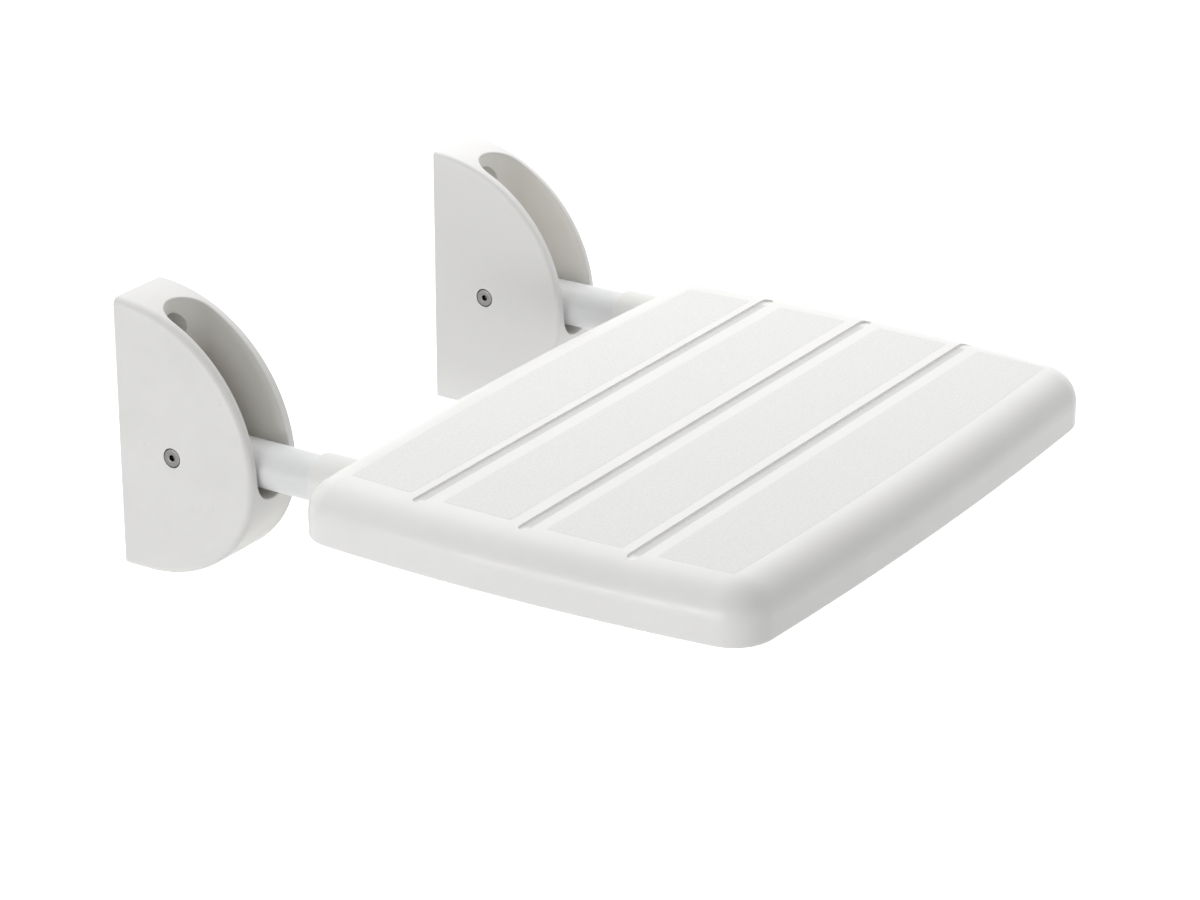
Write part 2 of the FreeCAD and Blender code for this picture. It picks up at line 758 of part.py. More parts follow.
def make_arm_collar(name, side):
    """White sleeve on the tube, let into the rear edge of the seat."""
    body = new_body(name)
    start = size("seat_rear") - size("collar_reach")
    ring = Drawing(body, name + "_ring", "XZ_Plane", start)
    ring.circle(0.0, 0.0, collar_radius)
    ring.circle(0.0, 0.0, cradle_radius)
    blank = pad(body, ring, size("collar_length"), name + "_pad")
    y = -number(start)
    wide = 2 * number(collar_radius) - 0.5

    def on_end(edge):
        return all(abs(v.Y - y) < 1e-4 for v in edge.Vertexes) and edge.BoundBox.XLength > wide

    round_edges(body, blank, size("collar_end_radius"), name + "_end", on_end)
    return place(body, side)


# Saddle clamps under the seat panel
def make_clamp(name, side, place_y):
    """Strap round the lower half of the tube, with an ear at each side."""
    body = new_body(name)
    inner = cradle_radius
    outer = cradle_radius + size("clamp_thickness")
    ear_end = size("clamp_screw_offset") + size("clamp_ear")
    thick = size("clamp_thickness")
    top = -size("boss_gap")
    foot = (outer * outer - thick * thick).root()
    strap = Drawing(body, name + "_strap", "XZ_Plane", place_y - size("clamp_width") / 2)
    strap.outline(
        [
            (-ear_end, top), (-ear_end, top - thick), (-foot, top - thick), (foot, top - thick),
            (ear_end, top - thick), (ear_end, top), (inner, top), (-inner, top),
        ],
        {2: (0.0, top, True), 6: (0.0, top, False)},
    )
    pad(body, strap, size("clamp_width"), name + "_pad")
    holes = Drawing(body, name + "_holes", "XY_Plane", top - 2 * thick)
    hole = size("clamp_screw_diameter") / 2 + size("cradle_gap")
    for sign in (-1, 1):
        holes.circle(sign * size("clamp_screw_offset"), -place_y, hole)
    pocket(body, holes, 3 * thick, name + "_hole_cut")
    return place(body, side)


def make_clamp_screws(name, side):
    """Four pan-head screws up into the bosses."""
    members = []
    under_ear = -(size("boss_gap") + size("clamp_thickness"))
    for i, place_y in enumerate(clamp_places, start=1):
        for end, sign in (("inner", -1), ("outer", 1)):
            head = doc.addObject("Part::Cylinder", "%s_head_%d_%s" % (name, i, end))
            bind(head, "Radius", size("clamp_head_diameter") / 2)
            bind(head, "Height", size("clamp_head_height"))
            bind(head, "Placement.Base.z", under_ear - size("clamp_head_height"))
            shank = doc.addObject("Part::Cylinder", "%s_shank_%d_%s" % (name, i, end))
            bind(shank, "Radius", size("clamp_screw_diameter") / 2)
            bind(shank, "Height", size("clamp_screw_length"))
            bind(shank, "Placement.Base.z", under_ear)
            for item in (head, shank):
                bind(item, "Placement.Base.x", sign * size("clamp_screw_offset"))
                bind(item, "Placement.Base.y", -place_y)
            screw = doc.addObject("Part::Fuse", "%s_%d_%s" % (name, i, end))
            screw.Base, screw.Tool = head, shank
            members.append(screw)
    return place(group(name, members), side)


# Seat panel
def seat_outline(body, name, inset, height):
    """Four bulged sides joined by corner arcs, inset all round by the same amount."""
    drawing = Drawing(body, name, "XY_Plane", height)
    half = size("seat_width") / 2
    deep = (size("seat_front") - size("seat_rear")) / 2

    def bulged(chord, bulge):
        """Radius of the arc over half a chord with this rise."""
        return (chord * chord + bulge * bulge) / (2 * bulge)

    side_radius = bulged(deep, size("side_bulge"))
    front_radius = bulged(half, size("front_bulge"))
    rear_radius = bulged(half, size("rear_bulge"))
    widest = -(size("seat_rear") + size("side_bulge_place"))
    sides = {
        "right": (half - side_radius, widest, side_radius),
        "rear": (measure(0.0), -(size("seat_rear") + rear_radius), rear_radius),
        "left": (side_radius - half, widest, side_radius),
        "front": (measure(0.0), front_radius - size("seat_front"), front_radius),
    }
    order = [
        ("right", "rear", "rear_corner_radius"),
        ("rear", "left", "rear_corner_radius"),
        ("left", "front", "front_corner_radius"),
        ("front", "right", "front_corner_radius"),
    ]
    hints = {
        ("right", "rear"): (1, 1),
        ("rear", "left"): (-1, 1),
        ("left", "front"): (-1, -1),
        ("front", "right"): (1, -1),
    }

    def corner(first, second, radius):
        """Centre and touching points of a corner arc inside two side arcs."""
        x1, y1, r1 = (number(v) for v in sides[first])
        x2, y2, r2 = (number(v) for v in sides[second])
        r = number(size(radius))
        a, b = r1 - r, r2 - r
        gap = math.hypot(x2 - x1, y2 - y1)
        along = (a * a - b * b + gap * gap) / (2 * gap)
        across = math.sqrt(max(a * a - along * along, 0.0))
        ux, uy = (x2 - x1) / gap, (y2 - y1) / gap
        middle = -(number(size("seat_front")) + number(size("seat_rear"))) / 2
        sx, sy = hints[(first, second)]
        foot_x = x1 + along * ux
        foot_y = y1 + along * uy
        options = [(foot_x - k * across * uy, foot_y + k * across * ux) for k in (-1, 1)]
        cx, cy = max(options, key=lambda p: sx * p[0] + sy * (p[1] - middle))
        touch = []
        for x, y, big in ((x1, y1, r1), (x2, y2, r2)):
            share = (big - number(inset)) / math.hypot(cx - x, cy - y)
            touch.append((x + (cx - x) * share, y + (cy - y) * share))
        return (cx, cy), touch

    corners = {pair[:2]: corner(*pair) for pair in order}
    normal = FreeCAD.Vector(0, 0, 1)

    def add_arc(cx, cy, start, end):
        r = math.hypot(start[0] - cx, start[1] - cy)
        t0 = math.atan2(start[1] - cy, start[0] - cx)
        t1 = math.atan2(end[1] - cy, end[0] - cx)
        if t1 <= t0:
            t1 += 2 * math.pi
        circle = Part.Circle(FreeCAD.Vector(cx, cy, 0), normal, r)
        return drawing.sketch.addGeometry(Part.ArcOfCircle(circle, t0, t1), False)

    # anticlockwise from the right side, each side followed by its corner
    arcs = []
    turns = [pair[:2] for pair in order]
    for i, side in enumerate(("right", "rear", "left", "front")):
        cx, cy, r = sides[side]
        start = corners[turns[i - 1]][1][1]
        end = corners[turns[i]][1][0]
        g = add_arc(number(cx), number(cy), start, end)
        drawing.fix("DistanceX", g, 3, cx)
        drawing.fix("DistanceY", g, 3, cy)
        drawing.radius(g, r - inset)
        arcs.append(g)
        (kx, ky), touch = corners[turns[i]]
        c = add_arc(kx, ky, touch[0], touch[1])
        drawing.radius(c, size(order[i][2]) - inset)
        arcs.append(c)
    for i, g in enumerate(arcs):
        drawing.constrain("Tangent", g, 2, arcs[(i + 1) % len(arcs)], 1)
    return drawing


def at_height(level):
    """Picks the edges that lie wholly at one height."""
    return lambda edge: all(abs(v.Z - level) < 1e-4 for v in edge.Vertexes)


def seat_form(name, inset, low, high, edge):
    """The panel's form, inset all round, between two heights, with a rounded top edge."""
    body = new_body(name)
    blank = pad(body, seat_outline(body, name + "_plan", inset, low), high - low, name + "_blank")
    level = number(high)
    round_edges(body, blank, edge, name + "_brow", at_height(level))
    return body


def make_seat_shell():
    """Outer form: rounded top edge, small bottom edge, three grooves with round ends."""
    top = seat_top
    bottom = -seat_bottom
    body = seat_form("seat_shell", measure(0.0), bottom, top, size("edge_radius"))
    low = number(bottom)
    round_edges(body, body.Tip, size("bottom_edge_radius"), "seat_bottom_edge", at_height(low))
    r = size("groove_width") / 2
    run = size("seat_width") / 2 - size("groove_end_margin") - r
    plan = Drawing(body, "groove_plan", "XY_Plane", top - size("groove_depth"))
    for k in (-1, 0, 1):
        y = -(groove_middle + k * size("groove_pitch"))
        plan.outline(
            [(-run, y - r), (run, y - r), (run, y + r), (-run, y + r)],
            {1: (run, y, True), 3: (-run, y, True)},
        )
    grooves = pocket(body, plan, size("groove_depth") + 1, "seat_grooves")
    floor = number(top - size("groove_depth"))
    round_edges(body, grooves, size("groove_floor_radius"), "groove_floors", at_height(floor))
    return body


def box(name, x0, x1, y0, y1, z0, z1):
    """A block between six planes."""
    item = doc.addObject("Part::Box", name)
    bind(item, "Length", x1 - x0)
    bind(item, "Width", y1 - y0)
    bind(item, "Height", z1 - z0)
    bind(item, "Placement.Base.x", x0)
    bind(item, "Placement.Base.y", y0)
    bind(item, "Placement.Base.z", z0)
    return item


def rod(name, x, z, radius, y0, y1):
    """A round bar along Y from y0 towards the front, to y1."""
    item = doc.addObject("Part::Cylinder", name)
    bind(item, "Radius", radius)
    bind(item, "Height", y0 - y1)
    item.Placement.Rotation = FreeCAD.Rotation(FreeCAD.Vector(1, 0, 0), 90)
    bind(item, "Placement.Base.x", x)
    bind(item, "Placement.Base.y", y0)
    bind(item, "Placement.Base.z", z)
    return item


def post(name, x, y, radius, z0, z1):
    """An upright round bar."""
    item = doc.addObject("Part::Cylinder", name)
    bind(item, "Radius", radius)
    bind(item, "Height", z1 - z0)
    bind(item, "Placement.Base.x", x)
    bind(item, "Placement.Base.y", y)
    bind(item, "Placement.Base.z", z0)
    return item


def fuse(name, members):
    item = doc.addObject("Part::MultiFuse", name)
    item.Shapes = members
    return item


def make_seat_ribs():
    """Crossing ribs under the skin, ending inside the wall."""
    half = size("seat_width") / 2
    low = -size("rib_bottom")
    high = seat_top
    t = size("rib_thickness") / 2
    bars = []
    for k in range(-3, 4):
        y = -(groove_middle + (k / 2) * size("groove_pitch"))
        bars.append(box("cross_rib_%d" % (k + 4), -half, half, y - t, y + t, low, high))
    for k in range(-2, 3):
        x = (k / 3) * arm_offset
        front = -size("seat_front")
        rear = -size("seat_rear")
        bars.append(box("long_rib_%d" % (k + 3), x - t, x + t, front, rear, low, high))
    inset = size("seat_wall") / 2
    limit = seat_form("rib_limit", inset, low, skin_height + 1, size("edge_radius") - inset)
    ribs = doc.addObject("Part::Common", "seat_ribs")
    ribs.Base = fuse("rib_grid", bars)
    ribs.Tool = limit
    return ribs


def make_seat_panel():
    """Moulded panel: skin, walls, ribs and clamp bosses in one piece."""
    ceiling = skin_height + 1
    bottom = -seat_bottom
    wall = size("seat_wall")
    hollow = seat_form("seat_hollow", wall, bottom - 1, skin_height, size("edge_radius") - wall)
    shell = doc.addObject("Part::Cut", "seat_skin")
    shell.Base = make_seat_shell()
    shell.Tool = hollow
    adds = [shell, make_seat_ribs()]
    cuts = []
    axis = measure(0.0)
    collar_hole = collar_radius + size("running_gap")
    collar_end = -(size("seat_rear") - size("collar_reach") + size("collar_length"))
    tube_stop = -(tube_end + size("plug_flange") + size("skin_gap"))
    reach = size("clamp_screw_offset")
    half_web = size("rib_thickness") / 2
    web_foot = size("rib_thickness")
    boss_bore = size("clamp_screw_diameter") / 2 + size("running_gap")
    bore_start = measure(-1.0)
    bore_end = size("clamp_screw_length") - size("clamp_thickness")
    for arm, side in (("left", -1), ("right", 1)):
        x = side * arm_offset
        left = x - cradle_radius
        right = x + cradle_radius
        cuts.append(rod(arm + "_collar_hole", x, axis, collar_hole, axis, collar_end))
        cuts.append(rod(arm + "_tube_cradle", x, axis, cradle_radius, axis, tube_stop))
        cuts.append(box(arm + "_tube_way", left, right, tube_stop, collar_end, bottom - 1, axis))
        for i, place_y in enumerate(clamp_places, start=1):
            y = -place_y
            web = "%s_clamp_web_%d" % (arm, i)
            adds.append(box(web, x - reach, x + reach, y - half_web, y + half_web, web_foot, ceiling))
            for end, sign in (("inner", -1), ("outer", 1)):
                tag = "%s_%d_%s" % (arm, i, end)
                px = x + sign * reach
                adds.append(post("boss_" + tag, px, y, size("boss_diameter") / 2, axis, ceiling))
                cuts.append(post("boss_bore_" + tag, px, y, boss_bore, bore_start, bore_end))
    panel = doc.addObject("Part::Cut", "seat_panel")
    panel.Base = fuse("seat_solid", adds)
    panel.Tool = fuse("seat_cuts", cuts)
    return place(panel, 0)


PIECES = []
for arm, side in (("left", -1), ("right", 1)):
    PIECES += [
        make_bracket_body(arm + "_bracket_body", side),
        make_wall_pad(arm + "_wall_pad", side),
        make_screw_washers(arm + "_screw_washers", side),
        make_pivot_barrel(arm + "_pivot_barrel", side),
        make_pivot_screw(arm + "_pivot_screw", side),
        make_bush(arm + "_outer_bush", side, side),
        make_bush(arm + "_inner_bush", side, -side),
        make_stop_pad(arm + "_stop_pad", side),
        make_arm_knuckle(arm + "_arm_knuckle", side),
        make_knuckle_pin(arm + "_knuckle_pin", side),
        make_arm_tube(arm + "_arm_tube", side),
        make_arm_collar(arm + "_arm_collar", side),
        make_tube_plug(arm + "_tube_plug", side),
        make_clamp(arm + "_rear_clamp", side, clamp_places[0]),
        make_clamp(arm + "_front_clamp", side, clamp_places[1]),
        make_clamp_screws(arm + "_clamp_screws", side),
    ]
PIECES.append(make_seat_panel())

doc.recompute()
faults = [o.Name for o in doc.Objects if any(word in ("Invalid", "Error") for word in o.State)]
if faults:
    raise RuntimeError("not built: " + ", ".join(faults))
os.makedirs("parts", exist_ok=True)
for piece in PIECES:
    shape = piece.Shape
    if shape.isNull() or not shape.isValid() or not shape.Solids:
        raise RuntimeError("bad shape: " + piece.Label)
    shape.exportStep("parts/%s.step" % piece.Label)
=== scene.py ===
"""Dresses the fold down wall seat: a moulded panel on two tube arms between slotted brackets."""

import logging
import math
from dataclasses import dataclass
from enum import Enum
from typing import Callable

import bpy
from mathutils import Matrix, Vector


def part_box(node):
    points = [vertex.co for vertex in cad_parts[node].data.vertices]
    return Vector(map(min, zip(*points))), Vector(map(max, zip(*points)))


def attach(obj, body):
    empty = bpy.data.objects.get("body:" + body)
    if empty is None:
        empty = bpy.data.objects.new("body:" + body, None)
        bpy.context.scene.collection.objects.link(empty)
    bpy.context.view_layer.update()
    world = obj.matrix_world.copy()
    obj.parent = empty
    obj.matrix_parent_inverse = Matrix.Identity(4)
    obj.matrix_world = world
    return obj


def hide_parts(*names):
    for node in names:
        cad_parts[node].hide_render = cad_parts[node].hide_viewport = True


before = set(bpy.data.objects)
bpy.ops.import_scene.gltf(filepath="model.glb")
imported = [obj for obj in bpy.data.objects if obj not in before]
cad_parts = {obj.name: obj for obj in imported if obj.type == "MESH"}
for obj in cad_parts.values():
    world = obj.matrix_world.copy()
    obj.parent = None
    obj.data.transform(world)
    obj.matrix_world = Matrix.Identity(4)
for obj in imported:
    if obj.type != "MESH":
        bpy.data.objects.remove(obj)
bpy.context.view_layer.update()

log = logging.getLogger("wall_seat")

Socket = bpy.types.NodeSocket
Material = bpy.types.Material
Mesh = bpy.types.Object
Colour = tuple[float, float, float]
Point = tuple[float, float, float]
Span = tuple[float, float]

PIVOT_Y = -0.0388
PIVOT_Z = -0.051


class Side(Enum):
    """The two arms, as seen from the room."""

    LEFT = -1
    RIGHT = 1

    @property
    def word(self) -> str:
        """Name of the side in the piece names."""
        return self.name.lower()


class Body(Enum):
    """The two rigid halves of the seat."""

    BRACKETS = "brackets"
    SEAT = "seat"


class Slot(Enum):
    """Places of the record where a finish is kept."""

    MOULDING = "moulding_white"
    STEEL = "steel_bright"
    ZINC = "steel_zinc"


class Graph:
    """Builds the node tree of one material."""

    def __init__(self, name: str) -> None:
        """Start an empty material with its shader and output.

        Args:
            name: name of the material.
        """
        self.material = bpy.data.materials.new(name)
        self.material.use_nodes = True
        self.tree = self.material.node_tree
        self.tree.nodes.clear()
        self.shader = self.node("ShaderNodeBsdfPrincipled")
        self.output = self.node("ShaderNodeOutputMaterial")
        self.link(self.shader.outputs["BSDF"], self.output.inputs["Surface"])
        self.place = self.node("ShaderNodeTexCoord").outputs["Object"]
        self._height: Socket | None = None

    def node(self, kind: str) -> bpy.types.Node:
        """Add a node to the tree."""
        return self.tree.nodes.new(kind)

    def link(self, source: Socket, target: Socket) -> None:
        """Join two sockets."""
        self.tree.links.new(source, target)

    def feed(self, target: Socket, value: Socket | float | tuple[float, ...]) -> None:
        """Put a link or a plain value on a socket.

        Args:
            target: the socket.
            value: a socket to link, a number or a colour.
        """
        if isinstance(value, Socket):
            self.link(value, target)
        elif isinstance(value, tuple) and len(value) == 3:
            target.default_value = (*value, 1.0)
        else:
            target.default_value = value

    def scaled_place(self, scale: Point) -> Socket:
        """Object coordinates stretched by a scale.

        Args:
            scale: factor along each axis.

        Returns:
            The vector socket.
        """
        node = self.node("ShaderNodeMapping")
        self.link(self.place, node.inputs["Vector"])
        node.inputs["Scale"].default_value = scale
        return node.outputs["Vector"]

    def noise(self, scale: float, detail: float, roughness: float, place: Socket) -> Socket:
        """Cloudy noise between 0 and 1.

        Args:
            scale: cells per metre.
            detail: number of finer layers.
            roughness: strength of the finer layers.
            place: coordinates that it is read at.

        Returns:
            The factor socket.
        """
        node = self.node("ShaderNodeTexNoise")
        self.link(place, node.inputs["Vector"])
        node.inputs["Scale"].default_value = scale
        node.inputs["Detail"].default_value = detail
        node.inputs["Roughness"].default_value = roughness
        return node.outputs["Fac"]

    def cells(self, scale: float) -> Socket:
        """Distance to the nearest point of a random scatter, in cells.

        Args:
            scale: cells per metre.

        Returns:
            The distance socket.
        """
        node = self.node("ShaderNodeTexVoronoi")
        self.link(self.place, node.inputs["Vector"])
        node.inputs["Scale"].default_value = scale
        return node.outputs["Distance"]

    def math(self, operation: str, a: Socket | float, b: Socket | float = 0.0,
             clamp: bool = False) -> Socket:
        """One step of arithmetic.

        Args:
            operation: name of the operation.
            a: first value.
            b: second value.
            clamp: keep the result between 0 and 1.

        Returns:
            The value socket.
        """
        node = self.node("ShaderNodeMath")
        node.operation = operation
        node.use_clamp = clamp
        self.feed(node.inputs[0], a)
        self.feed(node.inputs[1], b)
        return node.outputs["Value"]

    def product(self, first: Socket, *others: Socket | float) -> Socket:
        """All values multiplied together.

        Args:
            first: first value.
            others: the values it is multiplied by, in turn.

        Returns:
            The value socket.
        """
        for other in others:
            first = self.math("MULTIPLY", first, other)
        return first

    def hypotenuse(self, a: Socket, b: Socket) -> Socket:
        """Length of the long side over two short ones."""
        return self.math("SQRT", self.math("ADD", self.product(a, a), self.product(b, b)))

    def ramp(self, value: Socket, span: Span, low: float = 0.0, high: float = 1.0) -> Socket:
        """Smooth step of a value across a span.

        Args:
            value: what is read.
            span: where the step starts and ends.
            low: result before the step.
            high: result after it.

        Returns:
            The value socket.
        """
        node = self.node("ShaderNodeMapRange")
        node.interpolation_type = "SMOOTHSTEP"
        self.link(value, node.inputs["Value"])
        for name, number in zip(("From Min", "From Max", "To Min", "To Max"), (*span, low, high)):
            node.inputs[name].default_value = number
        return node.outputs["Result"]

    def axes(self) -> tuple[Socket, Socket, Socket]:
        """Split the object coordinates.

        Returns:
            Their X, Y and Z sockets.
        """
        node = self.node("ShaderNodeSeparateXYZ")
        self.link(self.place, node.inputs["Vector"])
        return node.outputs["X"], node.outputs["Y"], node.outputs["Z"]

    def over(self, below: Socket | Colour, above: Socket | Colour, amount: Socket) -> Socket:
        """Lay one colour over another.

        Args:
            below: the colour below, linked or plain.
            above: the colour laid over it.
            amount: how far it covers, 0 to 1.

        Returns:
            The colour socket.
        """
        node = self.node("ShaderNodeMix")
        node.data_type = "RGBA"
        self.link(amount, node.inputs["Factor"])
        for number, colour in ((6, below), (7, above)):
            self.feed(node.inputs[number], colour)
        return node.outputs[2]

    def bump(self, height: Socket, depth: float, strength: float) -> None:
        """Lay a relief on top of the reliefs laid before.

        Args:
            height: relief between 0 and 1.
            depth: its depth in metres.
            strength: how much of it shows.
        """
        node = self.node("ShaderNodeBump")
        node.inputs["Strength"].default_value = strength
        node.inputs["Distance"].default_value = depth
        self.link(height, node.inputs["Height"])
        if self._height is not None:
            self.link(self._height, node.inputs["Normal"])
        self._height = node.outputs["Normal"]
        self.link(self._height, self.shader.inputs["Normal"])

    def set(self, **values: Socket | float | Colour) -> None:
        """Set sockets of the shader; underscores stand for spaces."""
        for name, value in values.items():
            self.feed(self.shader.inputs[name.replace("_", " ")], value)


@dataclass(frozen=True)
class Cloud:
    """Noise: cells per metre, finer layers and their strength, and the span that a step reads."""

    scale: float
    detail: float = 2.0
    roughness: float = 0.5
    span: Span = (0.3, 0.7)

    def draw(self, g: Graph, place: Socket | None = None) -> Socket:
        """The noise as it comes, at the object coordinates or at another place."""
        return g.noise(self.scale, self.detail, self.roughness, place or g.place)

    def step(self, g: Graph, low: float = 0.0, high: float = 1.0) -> Socket:
        """The noise as a smooth step between two results."""
        return g.ramp(self.draw(g), self.span, low, high)


@dataclass(frozen=True)
class Gloss:
    """How rough a skin is, at least and at most, and the noise that varies it."""

    least: float
    most: float
    cloud: Cloud = Cloud(60.0, 3.0)

    def draw(self, g: Graph) -> Socket:
        """The roughness socket."""
        return self.cloud.step(g, self.least, self.most)


@dataclass(frozen=True)
class Relief:
    """A fine relief: its noise, its depth in metres and how much of it shows."""

    cloud: Cloud
    depth: float
    strength: float

    def lay(self, g: Graph) -> None:
        """Lay it on a material."""
        g.bump(self.cloud.draw(g), self.depth, self.strength)


@dataclass(frozen=True)
class Finish:
    """A skin of two tones in soft clouds, with its gloss and its reliefs."""

    name: str
    light: Colour
    dark: Colour
    clouds: Cloud
    gloss: Gloss
    reliefs: tuple[Relief, ...] = ()
    refraction: float = 1.5
    sheen: float = 0.5
    metallic: float = 0.0

    def build(self) -> Material:
        """Make the material.

        Returns:
            The finished material.
        """
        g = Graph(self.name)
        self.paint(g)
        g.set(Roughness=self.gloss.draw(g), IOR=self.refraction,
              Specular_IOR_Level=self.sheen, Metallic=self.metallic)
        for relief in self.reliefs:
            relief.lay(g)
        return g.material

    def paint(self, g: Graph) -> None:
        """Give the skin its colour."""
        g.set(Base_Color=self.tones(g))

    def tones(self, g: Graph) -> Socket:
        """The two tones in soft clouds."""
        return g.over(self.light, self.dark, self.clouds.step(g))


@dataclass(frozen=True)
class MouldedWhite(Finish):
    """Warm white moulded plastic with a few specks and the faint smudges of hands."""

    name: str = "moulded_white"
    light: Colour = (0.835, 0.830, 0.815)
    dark: Colour = (0.805, 0.80, 0.782)
    clouds: Cloud = Cloud(22.0, 4.0, 0.6, (0.35, 0.7))
    gloss: Gloss = Gloss(0.36, 0.46)
    reliefs: tuple[Relief, ...] = (
        Relief(Cloud(900.0, 3.0, 0.6), 0.00002, 0.55),
        Relief(Cloud(45.0), 0.0004, 0.12),
    )
    speck: Colour = (0.55, 0.54, 0.51)
    speck_cells: float = 70.0
    speck_size: Span = (0.022, 0.036)
    speck_places: Cloud = Cloud(38.0, 1.0, span=(0.62, 0.66))
    speck_strength: float = 0.8
    smudge: Colour = (0.70, 0.69, 0.665)
    smudge_strokes: Cloud = Cloud(90.0, 4.0, 0.7, (0.56, 0.78))
    smudge_stretch: Point = (1.0, 1.0, 0.4)
    smudge_places: Cloud = Cloud(17.0, 1.0, span=(0.48, 0.62))
    smudge_heights: Span = (-0.075, -0.045)
    smudge_above: float = 0.3
    smudge_strength: float = 0.9

    def paint(self, g: Graph) -> None:
        """Two tones, smudged and specked."""
        g.set(Base_Color=self.handled(g))

    def handled(self, g: Graph) -> Socket:
        """The tones under their smudges and specks."""
        base = g.over(self.tones(g), self.smudge, g.product(self.streaks(g), self.smudge_strength))
        return self.specked(g, base)

    def streaks(self, g: Graph) -> Socket:
        """Faint upright smudges that hands leave low on the faces.

        Args:
            g: the graph.

        Returns:
            A value between 0 and 1.
        """
        strokes = self.smudge_strokes
        drawn = g.ramp(strokes.draw(g, g.scaled_place(self.smudge_stretch)), strokes.span)
        low = g.ramp(g.axes()[2], self.smudge_heights, 1.0, self.smudge_above)
        return g.product(drawn, self.smudge_places.step(g), low)

    def specked(self, g: Graph, base: Socket) -> Socket:
        """Scatter rare dark specks over a colour.

        Args:
            g: the graph.
            base: the colour below.

        Returns:
            The specked colour.
        """
        dots = g.ramp(g.cells(self.speck_cells), self.speck_size, 1.0, 0.0)
        return g.over(base, self.speck,
                      g.product(dots, self.speck_places.step(g), self.speck_strength))


@dataclass(frozen=True)
class BracketWhite(MouldedWhite):
    """The brackets: painted warm bounce light and painted shade in their slots, and painted light
    that makes the right one lighter than the left.

    The slot of each bracket lies slot_middle beside the centre and is twice slot_half wide. Its
    depth is read on an ellipse as far out and as high as the round front.
    """

    # Painted light: the right bracket is made lighter than the left, standing in for the light
    # that falls on it.
    fresh: Colour = (0.885, 0.88, 0.865)
    fresh_strength: float = 0.8
    fresh_side: Span = (-0.05, 0.05)
    # Painted light and shade in the slots: a warm painted bounce light on the walls near the
    # opening, and a painted shade that deepens into the slot.
    core: Colour = (0.865, 0.853, 0.815)
    core_deep: Colour = (0.32, 0.297, 0.24)
    # Painted light: the lighter slot walls of the right bracket.
    core_fresh: Colour = (0.945, 0.93, 0.885)
    slot_middle: float = 0.1617
    slot_half: float = 0.0169
    slot_edge: float = 0.0006
    front_reach: float = 0.097
    front_height: float = 0.0985
    front_middle_z: float = -0.057
    deep_span: Span = (0.90, 0.45)
    lip_span: Span = (1.0, 0.97)

    def paint(self, g: Graph) -> None:
        """Smudged and specked outside, painted lighter on the right, with the painted light and
        shade of the slots laid over.

        Args:
            g: the graph.
        """
        base = self.handled(g)
        right = g.ramp(g.axes()[0], self.fresh_side)
        depth, inside = self.slot(g)
        core = g.over(g.over(self.core, self.core_deep, depth), self.core_fresh, right)
        outside = g.over(base, self.fresh, g.product(right, self.fresh_strength))
        g.set(Base_Color=g.over(outside, core, inside))

    def slot(self, g: Graph) -> tuple[Socket, Socket]:
        """Read where a point lies in the slot of its bracket.

        Args:
            g: the graph.

        Returns:
            How deep the point lies, and whether it lies between the cheeks.
        """
        x, y, z = g.axes()
        out = g.math("DIVIDE", y, self.front_reach)
        up = g.math("DIVIDE", g.math("SUBTRACT", z, self.front_middle_z), self.front_height)
        reach = g.hypotenuse(out, up)
        across = g.math("ABSOLUTE", g.math("SUBTRACT", g.math("ABSOLUTE", x), self.slot_middle))
        between = g.ramp(across, (self.slot_half, self.slot_half - self.slot_edge))
        return g.ramp(reach, self.deep_span), g.product(between, g.ramp(reach, self.lip_span))


@dataclass(frozen=True)
class SeatWhite(MouldedWhite):
    """The panel's satin skin: edges, strips and grooves, with painted shade in the lee of each
    groove's lip.

    The bands of painted shade start at band_start and come back every groove_pitch towards the
    front.
    """

    name: str = "seat_white"
    light: Colour = (0.892, 0.888, 0.872)
    dark: Colour = (0.870, 0.866, 0.848)
    clouds: Cloud = Cloud(18.0, 4.0, 0.6, (0.35, 0.7))
    gloss: Gloss = Gloss(0.29, 0.38)
    reliefs: tuple[Relief, ...] = (
        Relief(Cloud(900.0, 3.0, 0.6), 0.00002, 0.4),
        Relief(Cloud(30.0), 0.0005, 0.1),
    )
    # Painted shade: the grey that falls in and just before each groove, darkest over its front
    # half.
    dull: Colour = (0.64, 0.64, 0.625)
    dull_strength: float = 0.85
    band_start: float = -0.21825
    groove_pitch: float = 0.071
    band_lip: Span = (0.0002, 0.0014)
    band_floor: Span = (0.0038, 0.0060)
    band_sides: Span = (0.185, 0.190)
    band_front: Span = (-0.405, -0.4)
    band_heights: Span = (-0.039, -0.0375)

    def paint(self, g: Graph) -> None:
        """Two tones with the bands of painted shade and the specks."""
        g.set(Base_Color=self.specked(g, g.over(self.tones(g), self.dull, self.groove_painted_shade_mask(g))))

    def groove_painted_shade_mask(self, g: Graph) -> Socket:
        """Painted shade over the front half of each groove and the lip before it.

        Args:
            g: the graph.

        Returns:
            A value between 0 and 1.
        """
        x, y, z = g.axes()
        ahead = g.math("MODULO", g.math("SUBTRACT", self.band_start, y), self.groove_pitch)
        return g.product(
            g.ramp(ahead, self.band_lip),
            g.ramp(ahead, self.band_floor, 1.0, 0.0),
            g.ramp(g.math("ABSOLUTE", x), self.band_sides, 1.0, 0.0),
            g.ramp(y, self.band_front),
            g.ramp(z, self.band_heights),
            self.dull_strength,
        )


